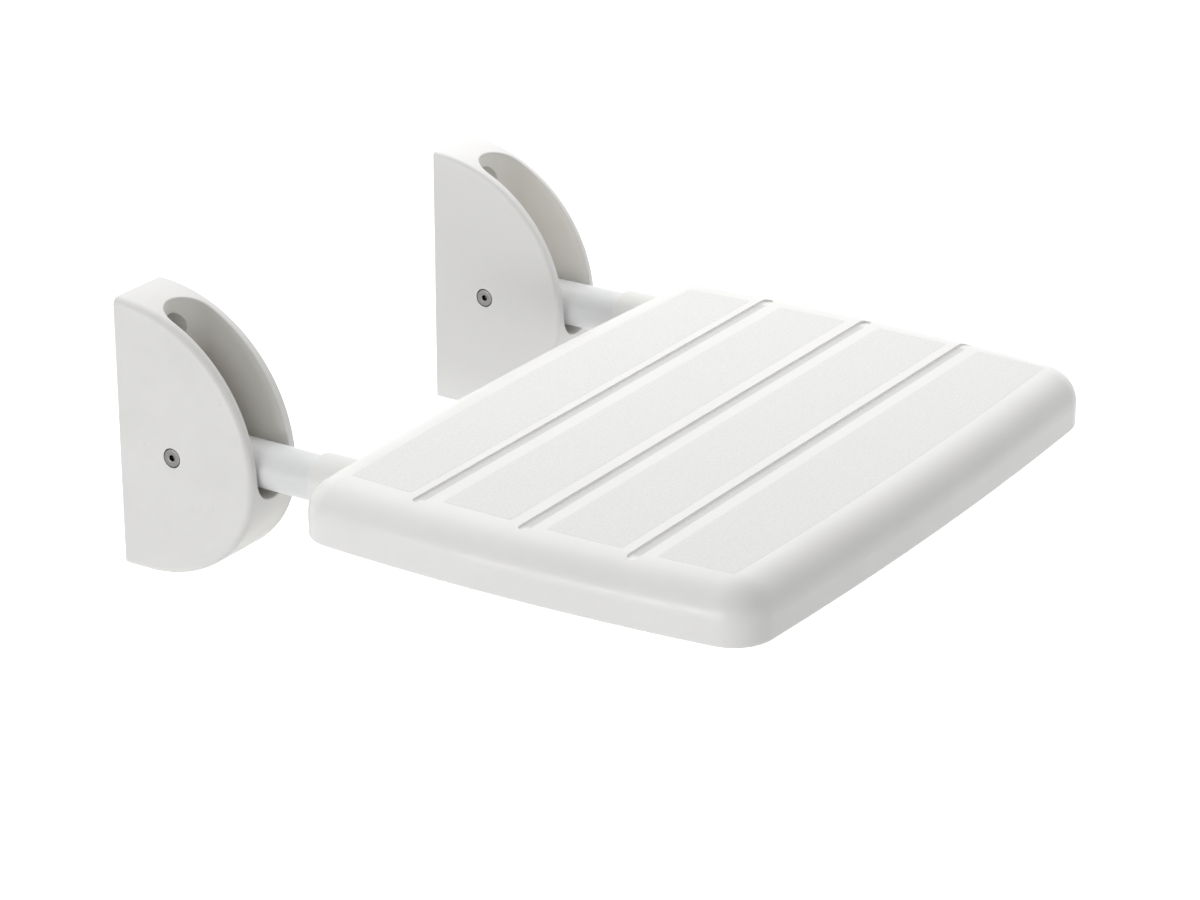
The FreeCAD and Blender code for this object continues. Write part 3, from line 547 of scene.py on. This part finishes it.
@dataclass(frozen=True)
class PebbledWhite(MouldedWhite):
    """The slip-resistant fields: a fine irregular grain in the same plastic."""

    name: str = "pebbled_white"
    light: Colour = (0.864, 0.860, 0.846)
    dark: Colour = (0.857, 0.853, 0.838)
    clouds: Cloud = Cloud(24.0, 3.0, 0.6, (0.35, 0.7))
    gloss: Gloss = Gloss(0.62, 0.74, Cloud(400.0, 3.0))
    reliefs: tuple[Relief, ...] = (Relief(Cloud(1500.0), 0.00004, 0.5),)
    sheen: float = 0.3
    pit: Colour = (0.80, 0.80, 0.788)
    grain: Cloud = Cloud(620.0, 3.0, 0.7, (0.34, 0.62))
    grain_depth: float = 0.00012
    grain_strength: float = 0.5

    def paint(self, g: Graph) -> None:
        """Duller pits between the grains, which also stand out.

        Args:
            g: the graph.
        """
        grain = self.grain.step(g)
        g.set(Base_Color=self.specked(g, g.over(self.pit, self.tones(g), grain)))
        g.bump(grain, self.grain_depth, self.grain_strength)


@dataclass(frozen=True)
class TubeCoating(Finish):
    """Cool white powder coat with a fine orange-peel skin."""

    name: str = "tube_coating"
    light: Colour = (0.79, 0.795, 0.80)
    dark: Colour = (0.765, 0.77, 0.777)
    clouds: Cloud = Cloud(40.0, 3.0, span=(0.35, 0.7))
    gloss: Gloss = Gloss(0.28, 0.36, Cloud(90.0))
    reliefs: tuple[Relief, ...] = (Relief(Cloud(420.0, 2.0, 0.45), 0.00004, 0.5),)


BRUSHED = Cloud(300.0, 3.0)


@dataclass(frozen=True)
class PlatedMetal(Finish):
    """Bare or plated metal with a fine brushed grain."""

    clouds: Cloud = Cloud(700.0, 4.0, 0.6)
    gloss: Gloss = Gloss(0.3, 0.45, BRUSHED)
    metallic: float = 1.0
    relief_depth: float = 0.00003
    relief_strength: float = 0.4

    def paint(self, g: Graph) -> None:
        """Two tones that follow the relief.

        Args:
            g: the graph.
        """
        pattern = self.pattern(g)
        g.set(Base_Color=g.over(self.light, self.dark, g.ramp(pattern, self.clouds.span)))
        g.bump(pattern, self.relief_depth, self.relief_strength)

    def pattern(self, g: Graph) -> Socket:
        """The brushed grain."""
        return self.clouds.draw(g)


@dataclass(frozen=True)
class TurnedMetal(PlatedMetal):
    """Metal with the fine rings about the pivot axis that a lathe leaves."""

    clouds: Cloud = Cloud(500.0)
    gloss: Gloss = Gloss(0.3, 0.42, BRUSHED)
    ring_waves: float = 14000.0
    ring_strength: float = 0.35

    def pattern(self, g: Graph) -> Socket:
        """The rings, broken up by a little noise.

        Args:
            g: the graph.

        Returns:
            A value between 0 and 1.
        """
        _, y, z = g.axes()
        from_pivot = g.math("SUBTRACT", y, PIVOT_Y), g.math("SUBTRACT", z, PIVOT_Z)
        wave = g.math("SINE", g.product(g.hypotenuse(*from_pivot), self.ring_waves))
        return g.math("ADD", g.product(wave, self.ring_strength), self.clouds.draw(g), clamp=True)


@dataclass(frozen=True)
class DullPlastic(Finish):
    """Rubber or polythene with a fine matt grain."""

    clouds: Cloud = Cloud(80.0, 4.0, 0.6, (0.35, 0.7))
    gloss: Gloss = Gloss(0.55, 0.7, Cloud(1100.0, 3.0))
    reliefs: tuple[Relief, ...] = (Relief(Cloud(1100.0, 3.0, 0.6), 0.00006, 0.6),)


@dataclass(frozen=True)
class Acetal(DullPlastic):
    """Off-white acetal with a wider grain."""

    name: str = "acetal"
    light: Colour = (0.84, 0.84, 0.80)
    dark: Colour = (0.78, 0.78, 0.74)
    gloss: Gloss = Gloss(0.4, 0.5, Cloud(600.0, 3.0))
    reliefs: tuple[Relief, ...] = (Relief(Cloud(600.0, 3.0, 0.6), 0.00006, 0.6),)


@dataclass(frozen=True)
class FoamSeal(DullPlastic):
    """Grey foam with a fine open grain."""

    name: str = "foam_seal"
    light: Colour = (0.30, 0.30, 0.30)
    dark: Colour = (0.22, 0.22, 0.225)
    gloss: Gloss = Gloss(0.7, 0.85, Cloud(1600.0, 3.0))
    reliefs: tuple[Relief, ...] = (Relief(Cloud(1600.0, 3.0, 0.6), 0.0001, 0.6),)


class Palette:
    """All finishes, each built once."""

    def __init__(self) -> None:
        """Build the finishes."""
        self.bracket = BracketWhite().build()
        self.collar = MouldedWhite("collar_white").build()
        self.seat = SeatWhite().build()
        self.pebble = PebbledWhite().build()
        self.tube = TubeCoating().build()
        self.head = TurnedMetal("turned_steel", (0.235, 0.23, 0.225), (0.185, 0.18, 0.175)).build()
        # Painted reflection: the polished rim and mouth are darker than the turned metal, a
        # painted dark reflection of dark surroundings.
        self.polished_painted_dark = PlatedMetal("polished_steel_painted_dark", (0.20, 0.195, 0.19), (0.13, 0.125, 0.12),
                                  gloss=Gloss(0.08, 0.14, BRUSHED)).build()
        self.zinc = PlatedMetal("zinc_plate", (0.66, 0.67, 0.68), (0.54, 0.55, 0.57)).build()
        self.knuckle = TubeCoating("knuckle_coating", (0.85, 0.855, 0.86),
                                   (0.8, 0.805, 0.81)).build()
        self.acetal = Acetal().build()
        self.rubber = DullPlastic("rubber", (0.075, 0.075, 0.08), (0.05, 0.05, 0.055)).build()
        self.pad = FoamSeal().build()
        self.plug = DullPlastic("tube_plug_plastic", (0.45, 0.45, 0.45), (0.38, 0.38, 0.385),
                                gloss=Gloss(0.45, 0.55, Cloud(1100.0, 3.0))).build()


class Wardrobe:
    """Gives each CAD node its finish."""

    def __init__(self, palette: Palette) -> None:
        """Keep the palette.

        Args:
            palette: the finishes.
        """
        self.palette = palette

    def finishes(self) -> dict[str, Material]:
        """Choose the finish of each kind of node.

        Returns:
            The finishes by the end of the node's name.
        """
        p = self.palette
        return {
            "bracket_body": p.bracket,
            "wall_pad": p.pad,
            "screw_washers": p.zinc,
            "pivot_barrel": p.head,
            "pivot_screw": p.head,
            "outer_bush": p.acetal,
            "inner_bush": p.acetal,
            "stop_pad": p.rubber,
            "arm_knuckle": p.knuckle,
            "knuckle_pin": p.zinc,
            "arm_tube": p.tube,
            "arm_collar": p.collar,
            "tube_plug": p.plug,
            "rear_clamp": p.zinc,
            "front_clamp": p.zinc,
            "clamp_screws": p.zinc,
            "seat_panel": p.seat,
        }

    def dress(self) -> None:
        """Put the finishes on the nodes."""
        finishes = self.finishes()
        for name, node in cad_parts.items():
            kind = name.split("_", 1)[1] if name.startswith(("left_", "right_")) else name
            finish = finishes[kind]
            node.data.materials.clear()
            node.data.materials.append(finish)
            for polygon in node.data.polygons:
                polygon.material_index = 0
            log.info("%s wears %s", name, finish.name)


class Bench:
    """The hand tools; each works on one piece at a time.

    A profile grows from a tiny plane of the size SEED, and points nearer than WELD become one.
    """

    SEED = 0.001
    WELD = 1e-6

    @staticmethod
    def drop_all() -> None:
        """Leave edit mode with nothing selected."""
        if bpy.context.object is not None and bpy.context.object.mode != "OBJECT":
            bpy.ops.object.mode_set(mode="OBJECT")
        bpy.ops.object.select_all(action="DESELECT")

    @classmethod
    def hold(cls, piece: Mesh) -> None:
        """Select one piece alone.

        Args:
            piece: the piece.
        """
        cls.drop_all()
        piece.select_set(True)
        bpy.context.view_layer.objects.active = piece

    @classmethod
    def settle(cls, piece: Mesh) -> Mesh:
        """Put the place of a piece in its mesh.

        Args:
            piece: the piece.

        Returns:
            The same piece.
        """
        cls.hold(piece)
        bpy.ops.object.transform_apply(location=True, rotation=True, scale=True)
        return piece

    @classmethod
    def block(cls, name: str, low: Point, high: Point) -> Mesh:
        """A block between two corners, ready to be shaped.

        Args:
            name: name of the piece.
            low: its lowest corner.
            high: its highest corner.

        Returns:
            The block.
        """
        cls.drop_all()
        middle = [(a + b) / 2 for a, b in zip(low, high)]
        bpy.ops.mesh.primitive_cube_add(size=1.0, location=middle)
        block = bpy.context.object
        block.name = name
        block.scale = [b - a for a, b in zip(low, high)]
        return cls.settle(block)

    @classmethod
    def disc(cls, name: str, centre: Point, radius: float, depth: float, sides: int) -> Mesh:
        """An upright round block.

        Args:
            name: name of the piece.
            centre: its middle.
            radius: its radius.
            depth: its height.
            sides: how many flats stand for the round.

        Returns:
            The block.
        """
        cls.drop_all()
        bpy.ops.mesh.primitive_cylinder_add(vertices=sides, radius=radius, depth=depth,
                                            location=centre)
        disc = bpy.context.object
        disc.name = name
        return cls.settle(disc)

    @classmethod
    def turn(cls, name: str, profile: list[Span], steps: int) -> Mesh:
        """Draw half a section and spin it round the upright axis through the origin.

        Args:
            name: name of the piece.
            profile: points of radius and height, from the axis or round to the start.
            steps: how many flats stand for the round.

        Returns:
            The turned piece.
        """
        cls.drop_all()
        points = [Vector((radius, 0.0, height)) for radius, height in profile]
        bpy.ops.mesh.primitive_plane_add(size=cls.SEED, location=points[0])
        piece = bpy.context.object
        piece.name = name
        bpy.ops.object.mode_set(mode="EDIT")
        bpy.ops.mesh.select_mode(type="VERT")
        bpy.ops.mesh.select_all(action="SELECT")
        bpy.ops.mesh.merge(type="CENTER")
        for start, end in zip(points, points[1:]):
            bpy.ops.mesh.extrude_vertices_move(TRANSFORM_OT_translate={"value": end - start})
        bpy.ops.mesh.select_all(action="SELECT")
        bpy.ops.mesh.spin(steps=steps, angle=2 * math.pi, center=(0.0, 0.0, 0.0),
                          axis=(0.0, 0.0, 1.0))
        bpy.ops.mesh.select_all(action="SELECT")
        bpy.ops.mesh.remove_doubles(threshold=cls.WELD)
        bpy.ops.mesh.normals_make_consistent(inside=False)
        return cls.settle(piece)

    @classmethod
    def cut(cls, piece: Mesh, tool: Mesh, keep_common: bool = False) -> None:
        """Cut a piece with a tool and put the tool away.

        Args:
            piece: what is cut.
            tool: the cutter.
            keep_common: keep what both share instead of taking the tool's form out.
        """
        cls.hold(piece)
        modifier = piece.modifiers.new("cut", "BOOLEAN")
        modifier.operation = "INTERSECT" if keep_common else "DIFFERENCE"
        modifier.object = tool
        modifier.solver = "EXACT"
        bpy.ops.object.modifier_apply(modifier=modifier.name)
        bpy.data.objects.remove(tool)

    @classmethod
    def round_edges(cls, piece: Mesh, wanted: Callable[[Vector, Vector], bool], width: float,
                    steps: int) -> None:
        """Round the edges that a test picks by their two ends.

        Args:
            piece: what is rounded.
            wanted: test on the two ends of an edge.
            width: width of the rounding.
            steps: flats in the rounding.
        """
        cls.hold(piece)
        bpy.ops.object.mode_set(mode="EDIT")
        bpy.ops.mesh.select_mode(type="EDGE")
        bpy.ops.mesh.select_all(action="DESELECT")
        bpy.ops.object.mode_set(mode="OBJECT")
        points = piece.data.vertices
        for edge in piece.data.edges:
            edge.select = wanted(points[edge.vertices[0]].co, points[edge.vertices[1]].co)
        bpy.ops.object.mode_set(mode="EDIT")
        bpy.ops.mesh.bevel(offset=width, segments=steps, affect="EDGES")
        bpy.ops.object.mode_set(mode="OBJECT")

    @classmethod
    def smooth(cls, piece: Mesh, degrees: float) -> None:
        """Shade smooth up to a crease angle."""
        cls.hold(piece)
        bpy.ops.object.shade_smooth_by_angle(angle=math.radians(degrees))

    @staticmethod
    def copy(piece: Mesh, name: str, move: Matrix) -> Mesh:
        """A copy with a mesh of its own.

        Args:
            piece: what is copied.
            name: name of the copy.
            move: where the copy goes.

        Returns:
            The copy.
        """
        twin = bpy.data.objects.new(name, piece.data.copy())
        bpy.context.collection.objects.link(twin)
        twin.data.transform(move)
        return twin

    @classmethod
    def join(cls, name: str, pieces: list[Mesh]) -> Mesh:
        """Join pieces into one.

        Args:
            name: name of the joined piece.
            pieces: what is joined.

        Returns:
            The joined piece.
        """
        cls.hold(pieces[0])
        for piece in pieces[1:]:
            piece.select_set(True)
        bpy.ops.object.join()
        joined = bpy.context.object
        joined.name = name
        return joined

    @staticmethod
    def corners(node: str) -> tuple[Vector, Vector]:
        """Lowest and highest corner of a CAD node."""
        low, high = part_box(node)
        return Vector(low), Vector(high)


def finish_piece(piece: Mesh, body: Body, slot: Slot, *materials: Material) -> None:
    """Dress a new piece and let it ride.

    Args:
        piece: the piece.
        body: what it moves with.
        slot: the record's slot of its finish; not used.
        materials: its finishes, in the order of its face groups.
    """
    piece.data.materials.clear()
    for material in materials:
        piece.data.materials.append(material)
    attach(piece, body.value)
    log.info("%s made, %d faces", piece.name, len(piece.data.polygons))


@dataclass
class SeatTop:
    """Four pebbled fields between the grooves, a hair above the smooth skin.

    Each row is the front and the rear edge of one field.
    """

    palette: Palette
    rows: tuple[Span, ...] = ((-0.212, -0.1645), (-0.2805, -0.234), (-0.353, -0.304),
                              (-0.4265, -0.375))
    half_width: float = 0.1868
    side_middle: float = -0.29
    side_radius: float = 1.786
    end_radius: float = 3.846
    proud: float = 0.00009
    sunk: float = 0.0006
    corner: float = 0.0022
    corner_steps: int = 6
    rim_share: float = 0.9
    rim_steps: int = 2
    limit_height: float = 0.01
    limit_sides: int = 1024
    end_weight: float = 4.0
    near: float = 1e-4
    level: float = 1e-6
    crease: float = 12.0

    def limits(self) -> list[tuple[float, float, float]]:
        """Find the four large arcs that limit all fields.

        Returns:
            Centre x, centre y and radius of each, sides first.
        """
        shift = self.half_width - self.side_radius
        return [
            (shift, self.side_middle, self.side_radius),
            (-shift, self.side_middle, self.side_radius),
            (0.0, self.rows[0][1] - self.end_radius, self.end_radius),
            (0.0, self.rows[-1][0] + self.end_radius, self.end_radius),
        ]

    def build(self) -> None:
        """Make the four fields."""
        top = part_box("seat_panel")[1][2]
        low, high = top - self.sunk, top + self.proud
        for index, (front, rear) in enumerate(self.rows, start=1):
            field = Bench.block(f"pebbled_field_{index}", (-self.half_width, front, low),
                                (self.half_width, rear, high))
            for x, y, radius in self.limits():
                limit = Bench.disc("round_limit", (x, y, top), radius, self.limit_height,
                                   self.limit_sides)
                Bench.cut(field, limit, keep_common=True)
            self.soften(field, high)
            Bench.smooth(field, self.crease)
            finish_piece(field, Body.SEAT, Slot.MOULDING, self.palette.pebble)

    def soften(self, field: Mesh, high: float) -> None:
        """Round the four corners, then the rim.

        Args:
            field: the field.
            high: its top.
        """
        ends = self.corner_points(field)

        def corner_edge(a: Vector, b: Vector) -> bool:
            """An upright edge at a corner."""
            return abs(a.z - b.z) > self.level and any((a.xy - end).length < self.near
                                                       for end in ends)

        def top_edge(a: Vector, b: Vector) -> bool:
            """An edge of the rim."""
            return abs(a.z - high) < self.level and abs(b.z - high) < self.level

        Bench.round_edges(field, corner_edge, self.corner, self.corner_steps)
        Bench.round_edges(field, top_edge, self.proud * self.rim_share, self.rim_steps)

    def corner_points(self, field: Mesh) -> list[Vector]:
        """Find the four points furthest out along the diagonals.

        Args:
            field: the field.

        Returns:
            The points as seen from above.
        """
        points = [v.co.xy for v in field.data.vertices]
        middle = sum(points, Vector((0.0, 0.0))) / len(points)

        def furthest(sx: int, sy: int) -> Vector:
            """The point furthest out to one side and one end."""
            return max(points, key=lambda p: sx * (p.x - middle.x)
                       + self.end_weight * sy * (p.y - middle.y))

        return [furthest(sx, sy).copy() for sx in (-1, 1) for sy in (-1, 1)]


@dataclass
class PivotTrim:
    """The turned faces of the pivot heads, with a polished rim painted dark as a painted dark
    reflection, and a pin in the socket.
    """

    palette: Palette
    radius: float = 0.00605
    mouth: float = 0.0022
    mouth_slope: float = 0.00035
    lift: float = 0.00012
    rim: float = 0.0008
    ring: float = 0.0031
    ring_step: float = 0.0001
    sheet: float = 0.0003
    skirt: float = 0.0012
    skirt_width: float = 0.0004
    web_width: float = 0.001
    pin_radius: float = 0.0005
    pin_top: float = 0.0014
    pin_slope: float = 0.0002
    socket_depth: float = 0.005
    polished_mouth: float = 0.0004
    face_sides: int = 96
    pin_sides: int = 24
    crease: float = 30.0

    def plate(self) -> Mesh:
        """Turn the dished plate with its scored ring and rolled rim.

        Returns:
            The plate.
        """
        lift, scored = self.lift, self.lift * 0.5
        return Bench.turn("pivot_face", [
            (self.mouth, -self.sheet),
            (self.mouth, 0.0),
            (self.mouth + self.mouth_slope, lift),
            (self.ring, lift),
            (self.ring + self.ring_step, scored),
            (self.ring + self.ring_step * 3, scored),
            (self.ring + self.ring_step * 4, lift),
            (self.radius - self.rim, lift),
            (self.radius - self.rim * 0.9, lift * 0.8),
            (self.radius - self.rim * 0.08, -self.rim * 0.75),
            (self.radius, -self.rim * 0.95),
            (self.radius, -self.skirt),
            (self.radius - self.skirt_width, -self.skirt),
            (self.radius - self.web_width, -self.sheet),
            (self.mouth, -self.sheet),
        ], self.face_sides)

    def pin(self) -> Mesh:
        """Turn the pin that stands in the socket.

        Returns:
            The pin.
        """
        return Bench.turn("socket_pin", [
            (0.0, -self.pin_top),
            (self.pin_radius * 0.6, -self.pin_top),
            (self.pin_radius, -self.pin_top - self.pin_slope),
            (self.pin_radius, -self.socket_depth),
            (0.0, -self.socket_depth),
        ], self.pin_sides)

    def face(self) -> Mesh:
        """Join plate and pin, polished at the rim and the mouth, where the metal is painted dark
        as a painted dark reflection.

        Returns:
            One face, upright about the origin.
        """
        joined = Bench.join("pivot_face", [self.plate(), self.pin()])
        inner, outer = self.mouth + self.polished_mouth, self.radius - self.rim
        for polygon in joined.data.polygons:
            polygon.material_index = 0 if inner <= polygon.center.xy.length <= outer else 1
        Bench.smooth(joined, self.crease)
        return joined

    def build(self) -> None:
        """Lay a face on each of the four heads."""
        pattern = self.face()
        for side in Side:
            for part, end in (("pivot_barrel", side.value), ("pivot_screw", -side.value)):
                node = f"{side.word}_{part}"
                low, high = Bench.corners(node)
                middle = (low + high) / 2
                middle.x = high.x if end > 0 else low.x
                lean = Matrix.Rotation(math.radians(90.0 * end), 4, "Y")
                face = Bench.copy(pattern, f"{node}_face", Matrix.Translation(middle) @ lean)
                finish_piece(face, Body.BRACKETS, Slot.STEEL, self.palette.head,
                             self.palette.polished_painted_dark)
        bpy.data.objects.remove(pattern)


@dataclass
class ClampScrews:
    """Pan-head screws with a cross recess that hold the saddle clamps.

    The head's section is given in shares of its radius and of its height.
    """

    palette: Palette
    head_radius: float = 0.0045
    head_height: float = 0.0028
    head_section: tuple[Span, ...] = ((0.0, 1.0), (0.3, 0.985), (0.55, 0.93), (0.78, 0.8),
                                      (0.92, 0.58), (0.985, 0.34), (1.0, 0.18), (1.0, 0.04),
                                      (0.97, 0.0))
    shank_radius: float = 0.0024
    tip_length: float = 0.001
    tip_cut: float = 0.0009
    blade_width: float = 0.0052
    blade_thickness: float = 0.0011
    blade_taper: Point = (0.3, 0.6, 1.0)
    blade_overshoot: float = 1.05
    recess_depth: float = 0.0021
    sides: int = 48
    crease: float = 32.0
    first_turn: float = 23.0
    next_turn: float = 71.0

    def screw(self, length: float) -> Mesh:
        """One screw, head down, with the underside of the head at the origin.

        Args:
            length: of the shank.

        Returns:
            The screw.
        """
        profile = [(self.head_radius * across, -self.head_height * down)
                   for across, down in self.head_section]
        profile += [
            (self.shank_radius, 0.0),
            (self.shank_radius, length - self.tip_length),
            (self.shank_radius - self.tip_cut, length),
            (0.0, length),
        ]
        screw = Bench.turn("clamp_screw", profile, self.sides)
        for turn in (0.0, 90.0):
            Bench.cut(screw, self.blade(turn))
        Bench.smooth(screw, self.crease)
        return screw

    def blade(self, degrees: float) -> Mesh:
        """One wing of the driver that leaves the cross recess.

        Args:
            degrees: how far it is turned.

        Returns:
            The wing, narrower towards its tip.
        """
        bottom = -self.head_height * self.blade_overshoot
        half = self.blade_thickness / 2
        wing = Bench.block("driver_wing", (-self.blade_width / 2, -half, bottom),
                           (self.blade_width / 2, half, bottom + self.recess_depth))
        Bench.hold(wing)
        bpy.ops.object.mode_set(mode="EDIT")
        bpy.ops.mesh.select_mode(type="FACE")
        bpy.ops.mesh.select_all(action="DESELECT")
        bpy.ops.object.mode_set(mode="OBJECT")
        for polygon in wing.data.polygons:
            polygon.select = polygon.normal.z > 0.9
        bpy.ops.object.mode_set(mode="EDIT")
        bpy.ops.transform.resize(value=self.blade_taper)
        bpy.ops.object.mode_set(mode="OBJECT")
        wing.data.transform(Matrix.Rotation(math.radians(degrees), 4, "Z"))
        return wing

    def build(self) -> None:
        """Put four screws under each arm."""
        for side in Side:
            node = f"{side.word}_clamp_screws"
            low, high = Bench.corners(node)
            under_head = low.z + self.head_height
            pattern = self.screw(high.z - under_head)
            places = [(x, y) for y in (high.y - self.head_radius, low.y + self.head_radius)
                      for x in (low.x + self.head_radius, high.x - self.head_radius)]
            for index, (x, y) in enumerate(places, start=1):
                degrees = self.first_turn + self.next_turn * index
                move = Matrix.Translation((x, y, under_head)) @ Matrix.Rotation(
                    math.radians(degrees), 4, "Z")
                screw = Bench.copy(pattern, f"{side.word}_clamp_screw_{index}", move)
                finish_piece(screw, Body.SEAT, Slot.ZINC, self.palette.zinc)
                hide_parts(node)
            bpy.data.objects.remove(pattern)


@dataclass
class Underside:
    """Marks that the mould's ejector pins left under the skin of the panel.

    A mark's section is given in shares of its radius and of its height.
    """

    palette: Palette
    mark_radius: float = 0.0035
    mark_height: float = 0.00035
    mark_section: tuple[Span, ...] = ((0.0, 0.55), (0.72, 0.6), (0.82, 1.0), (0.93, 1.0),
                                      (1.0, 0.5))
    mark_root: float = 0.0003
    mark_sides: int = 32
    skin: float = 0.0042
    columns: tuple[float, ...] = (-0.081, -0.027, 0.027, 0.081)
    rows: tuple[float, ...] = (-0.1682, -0.2392, -0.3102, -0.3457, -0.4167)
    crease: float = 30.0

    def mark(self) -> Mesh:
        """Turn one mark, with a shallow dish and a soft edge.

        Returns:
            The mark, below the origin.
        """
        profile = [(self.mark_radius * across, -self.mark_height * down)
                   for across, down in self.mark_section]
        profile += [(self.mark_radius, self.mark_root), (0.0, self.mark_root)]
        return Bench.turn("ejector_mark", profile, self.mark_sides)

    def build(self) -> None:
        """Spread the marks over the cells between the ribs."""
        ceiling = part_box("seat_panel")[1][2] - self.skin
        pattern = self.mark()
        marks = [Bench.copy(pattern, "ejector_mark", Matrix.Translation((x, y, ceiling)))
                 for y in self.rows for x in self.columns]
        bpy.data.objects.remove(pattern)
        joined = Bench.join("ejector_marks", marks)
        Bench.smooth(joined, self.crease)
        finish_piece(joined, Body.SEAT, Slot.MOULDING, self.palette.seat)


@dataclass(frozen=True)
class Lamp:
    """A flat soft lamp: where it stands, what it faces, its width, height and power."""

    name: str
    place: Point
    aim: Point
    width: float
    height: float
    power: float
    in_reflections: bool = True

    def hang(self) -> None:
        """Put the lamp in the studio."""
        data = bpy.data.lights.new(self.name, "AREA")
        data.shape = "RECTANGLE"
        data.size = self.width
        data.size_y = self.height
        data.energy = self.power
        lamp = bpy.data.objects.new(self.name, data)
        bpy.context.collection.objects.link(lamp)
        towards = Vector(self.aim) - Vector(self.place)
        lamp.location = self.place
        lamp.rotation_euler = towards.to_track_quat("-Z", "Y").to_euler()
        lamp.visible_glossy = self.in_reflections


@dataclass
class Studio:
    """White floor, soft lamps and the camera."""

    floor_z: float = -0.53
    floor_size: float = 60.0
    floor_colour: Colour = (0.76, 0.76, 0.76)
    floor_roughness: float = 0.9
    floor_glow: float = 0.7
    sensor: float = 36.0
    lens: float = 118.95
    farthest: float = 50.0
    eye: Point = (-1.8488, -1.4152, 0.8395)
    yaw: float = math.radians(32.916)
    pitch: float = math.radians(22.422)
    white: Colour = (1.0, 1.0, 1.0)
    world_strength: float = 0.41
    lamps: tuple[Lamp, ...] = (
        Lamp("lamp_overhead", (1.15, 0.9, 2.0), (0.0, -0.25, 0.0), 2.2, 2.2, 63.5, False),
        Lamp("lamp_low_left", (-5.2, 0.55, -0.25), (0.0, -0.15, -0.08), 4.4, 0.52, 92.0),
        Lamp("lamp_front_right", (1.9, -1.7, 0.05), (0.1, -0.4, -0.05), 1.6, 0.8, 5.5, False),
    )

    def camera(self) -> None:
        """Stand the camera where the photographer stood."""
        data = bpy.data.cameras.new("camera")
        data.lens = self.lens
        data.sensor_width = self.sensor
        data.clip_end = self.farthest
        camera = bpy.data.objects.new("camera", data)
        bpy.context.collection.objects.link(camera)
        look = Vector((math.cos(self.yaw) * math.cos(self.pitch),
                       math.sin(self.yaw) * math.cos(self.pitch), -math.sin(self.pitch)))
        camera.location = self.eye
        camera.rotation_euler = look.to_track_quat("-Z", "Y").to_euler()
        bpy.context.scene.camera = camera

    def backdrop(self) -> None:
        """A wide white floor that keeps the shadow and is clear from below."""
        bpy.ops.mesh.primitive_plane_add(size=self.floor_size, location=(0.0, 0.0, self.floor_z))
        floor = bpy.context.object
        floor.name = "studio_floor"
        g = Graph("studio_floor")
        g.set(Base_Color=self.floor_colour, Roughness=self.floor_roughness)
        bare = g.shader.outputs["BSDF"]
        seen = self.mixed(g, self.seen(g), bare, self.glowing(g, bare))
        below = g.node("ShaderNodeNewGeometry").outputs["Backfacing"]
        clear = g.node("ShaderNodeBsdfTransparent").outputs["BSDF"]
        g.link(self.mixed(g, below, seen, clear), g.output.inputs["Surface"])
        floor.data.materials.append(g.material)

    @staticmethod
    def mixed(g: Graph, amount: Socket, first: Socket, second: Socket) -> Socket:
        """Mix two shaders.

        Args:
            g: the graph.
            amount: 0 gives the first, 1 the second.
            first: a shader.
            second: a shader.

        Returns:
            The mixed shader.
        """
        node = g.node("ShaderNodeMixShader")
        for socket, source in zip(node.inputs, (amount, first, second)):
            g.link(source, socket)
        return node.outputs["Shader"]

    @staticmethod
    def seen(g: Graph) -> Socket:
        """Whether the eye looks at the floor, straight or by way of a shiny or clear piece.

        Args:
            g: the graph.

        Returns:
            1 where it does.
        """
        rays = g.node("ShaderNodeLightPath").outputs
        seen = g.math("MAXIMUM", rays["Is Camera Ray"], rays["Is Glossy Ray"])
        return g.math("MAXIMUM", seen, rays["Is Transmission Ray"])

    def glowing(self, g: Graph, bare: Socket) -> Socket:
        """Add the glow that lifts the floor to white.

        Args:
            g: the graph.
            bare: the floor without it.

        Returns:
            The brighter shader.
        """
        glow = g.node("ShaderNodeEmission")
        g.feed(glow.inputs["Color"], self.white)
        g.feed(glow.inputs["Strength"], self.floor_glow)
        both = g.node("ShaderNodeAddShader")
        g.link(bare, both.inputs[0])
        g.link(glow.outputs["Emission"], both.inputs[1])
        return both.outputs["Shader"]

    def light(self) -> None:
        """White surroundings that light the seat evenly but weakly, and the soft lamps."""
        world = bpy.data.worlds.new("studio_world")
        world.use_nodes = True
        bpy.context.scene.world = world
        tree = world.node_tree
        sky = tree.nodes["Background"]
        sky.inputs["Color"].default_value = (*self.white, 1.0)
        rays = tree.nodes.new("ShaderNodeLightPath")
        seen = tree.nodes.new("ShaderNodeMath")
        seen.operation = "MAXIMUM"
        tree.links.new(rays.outputs["Is Camera Ray"], seen.inputs[0])
        tree.links.new(rays.outputs["Is Glossy Ray"], seen.inputs[1])
        pick = tree.nodes.new("ShaderNodeMapRange")
        tree.links.new(seen.outputs["Value"], pick.inputs["Value"])
        pick.inputs["To Min"].default_value = self.world_strength
        pick.inputs["To Max"].default_value = 1.0
        tree.links.new(pick.outputs["Result"], sky.inputs["Strength"])
        for lamp in self.lamps:
            lamp.hang()

    def build(self) -> None:
        """Set up the whole studio."""
        self.camera()
        self.backdrop()
        self.light()
        bpy.context.scene.view_settings.view_transform = "Standard"
        log.info("studio stands")


def main() -> None:
    """Build the classes in order."""
    logging.basicConfig(level=logging.INFO, format="%(message)s")
    Studio().build()
    palette = Palette()
    Wardrobe(palette).dress()
    for assembly in (SeatTop(palette), PivotTrim(palette), ClampScrews(palette),
                     Underside(palette)):
        assembly.build()


if __name__ == "__main__":
    main()
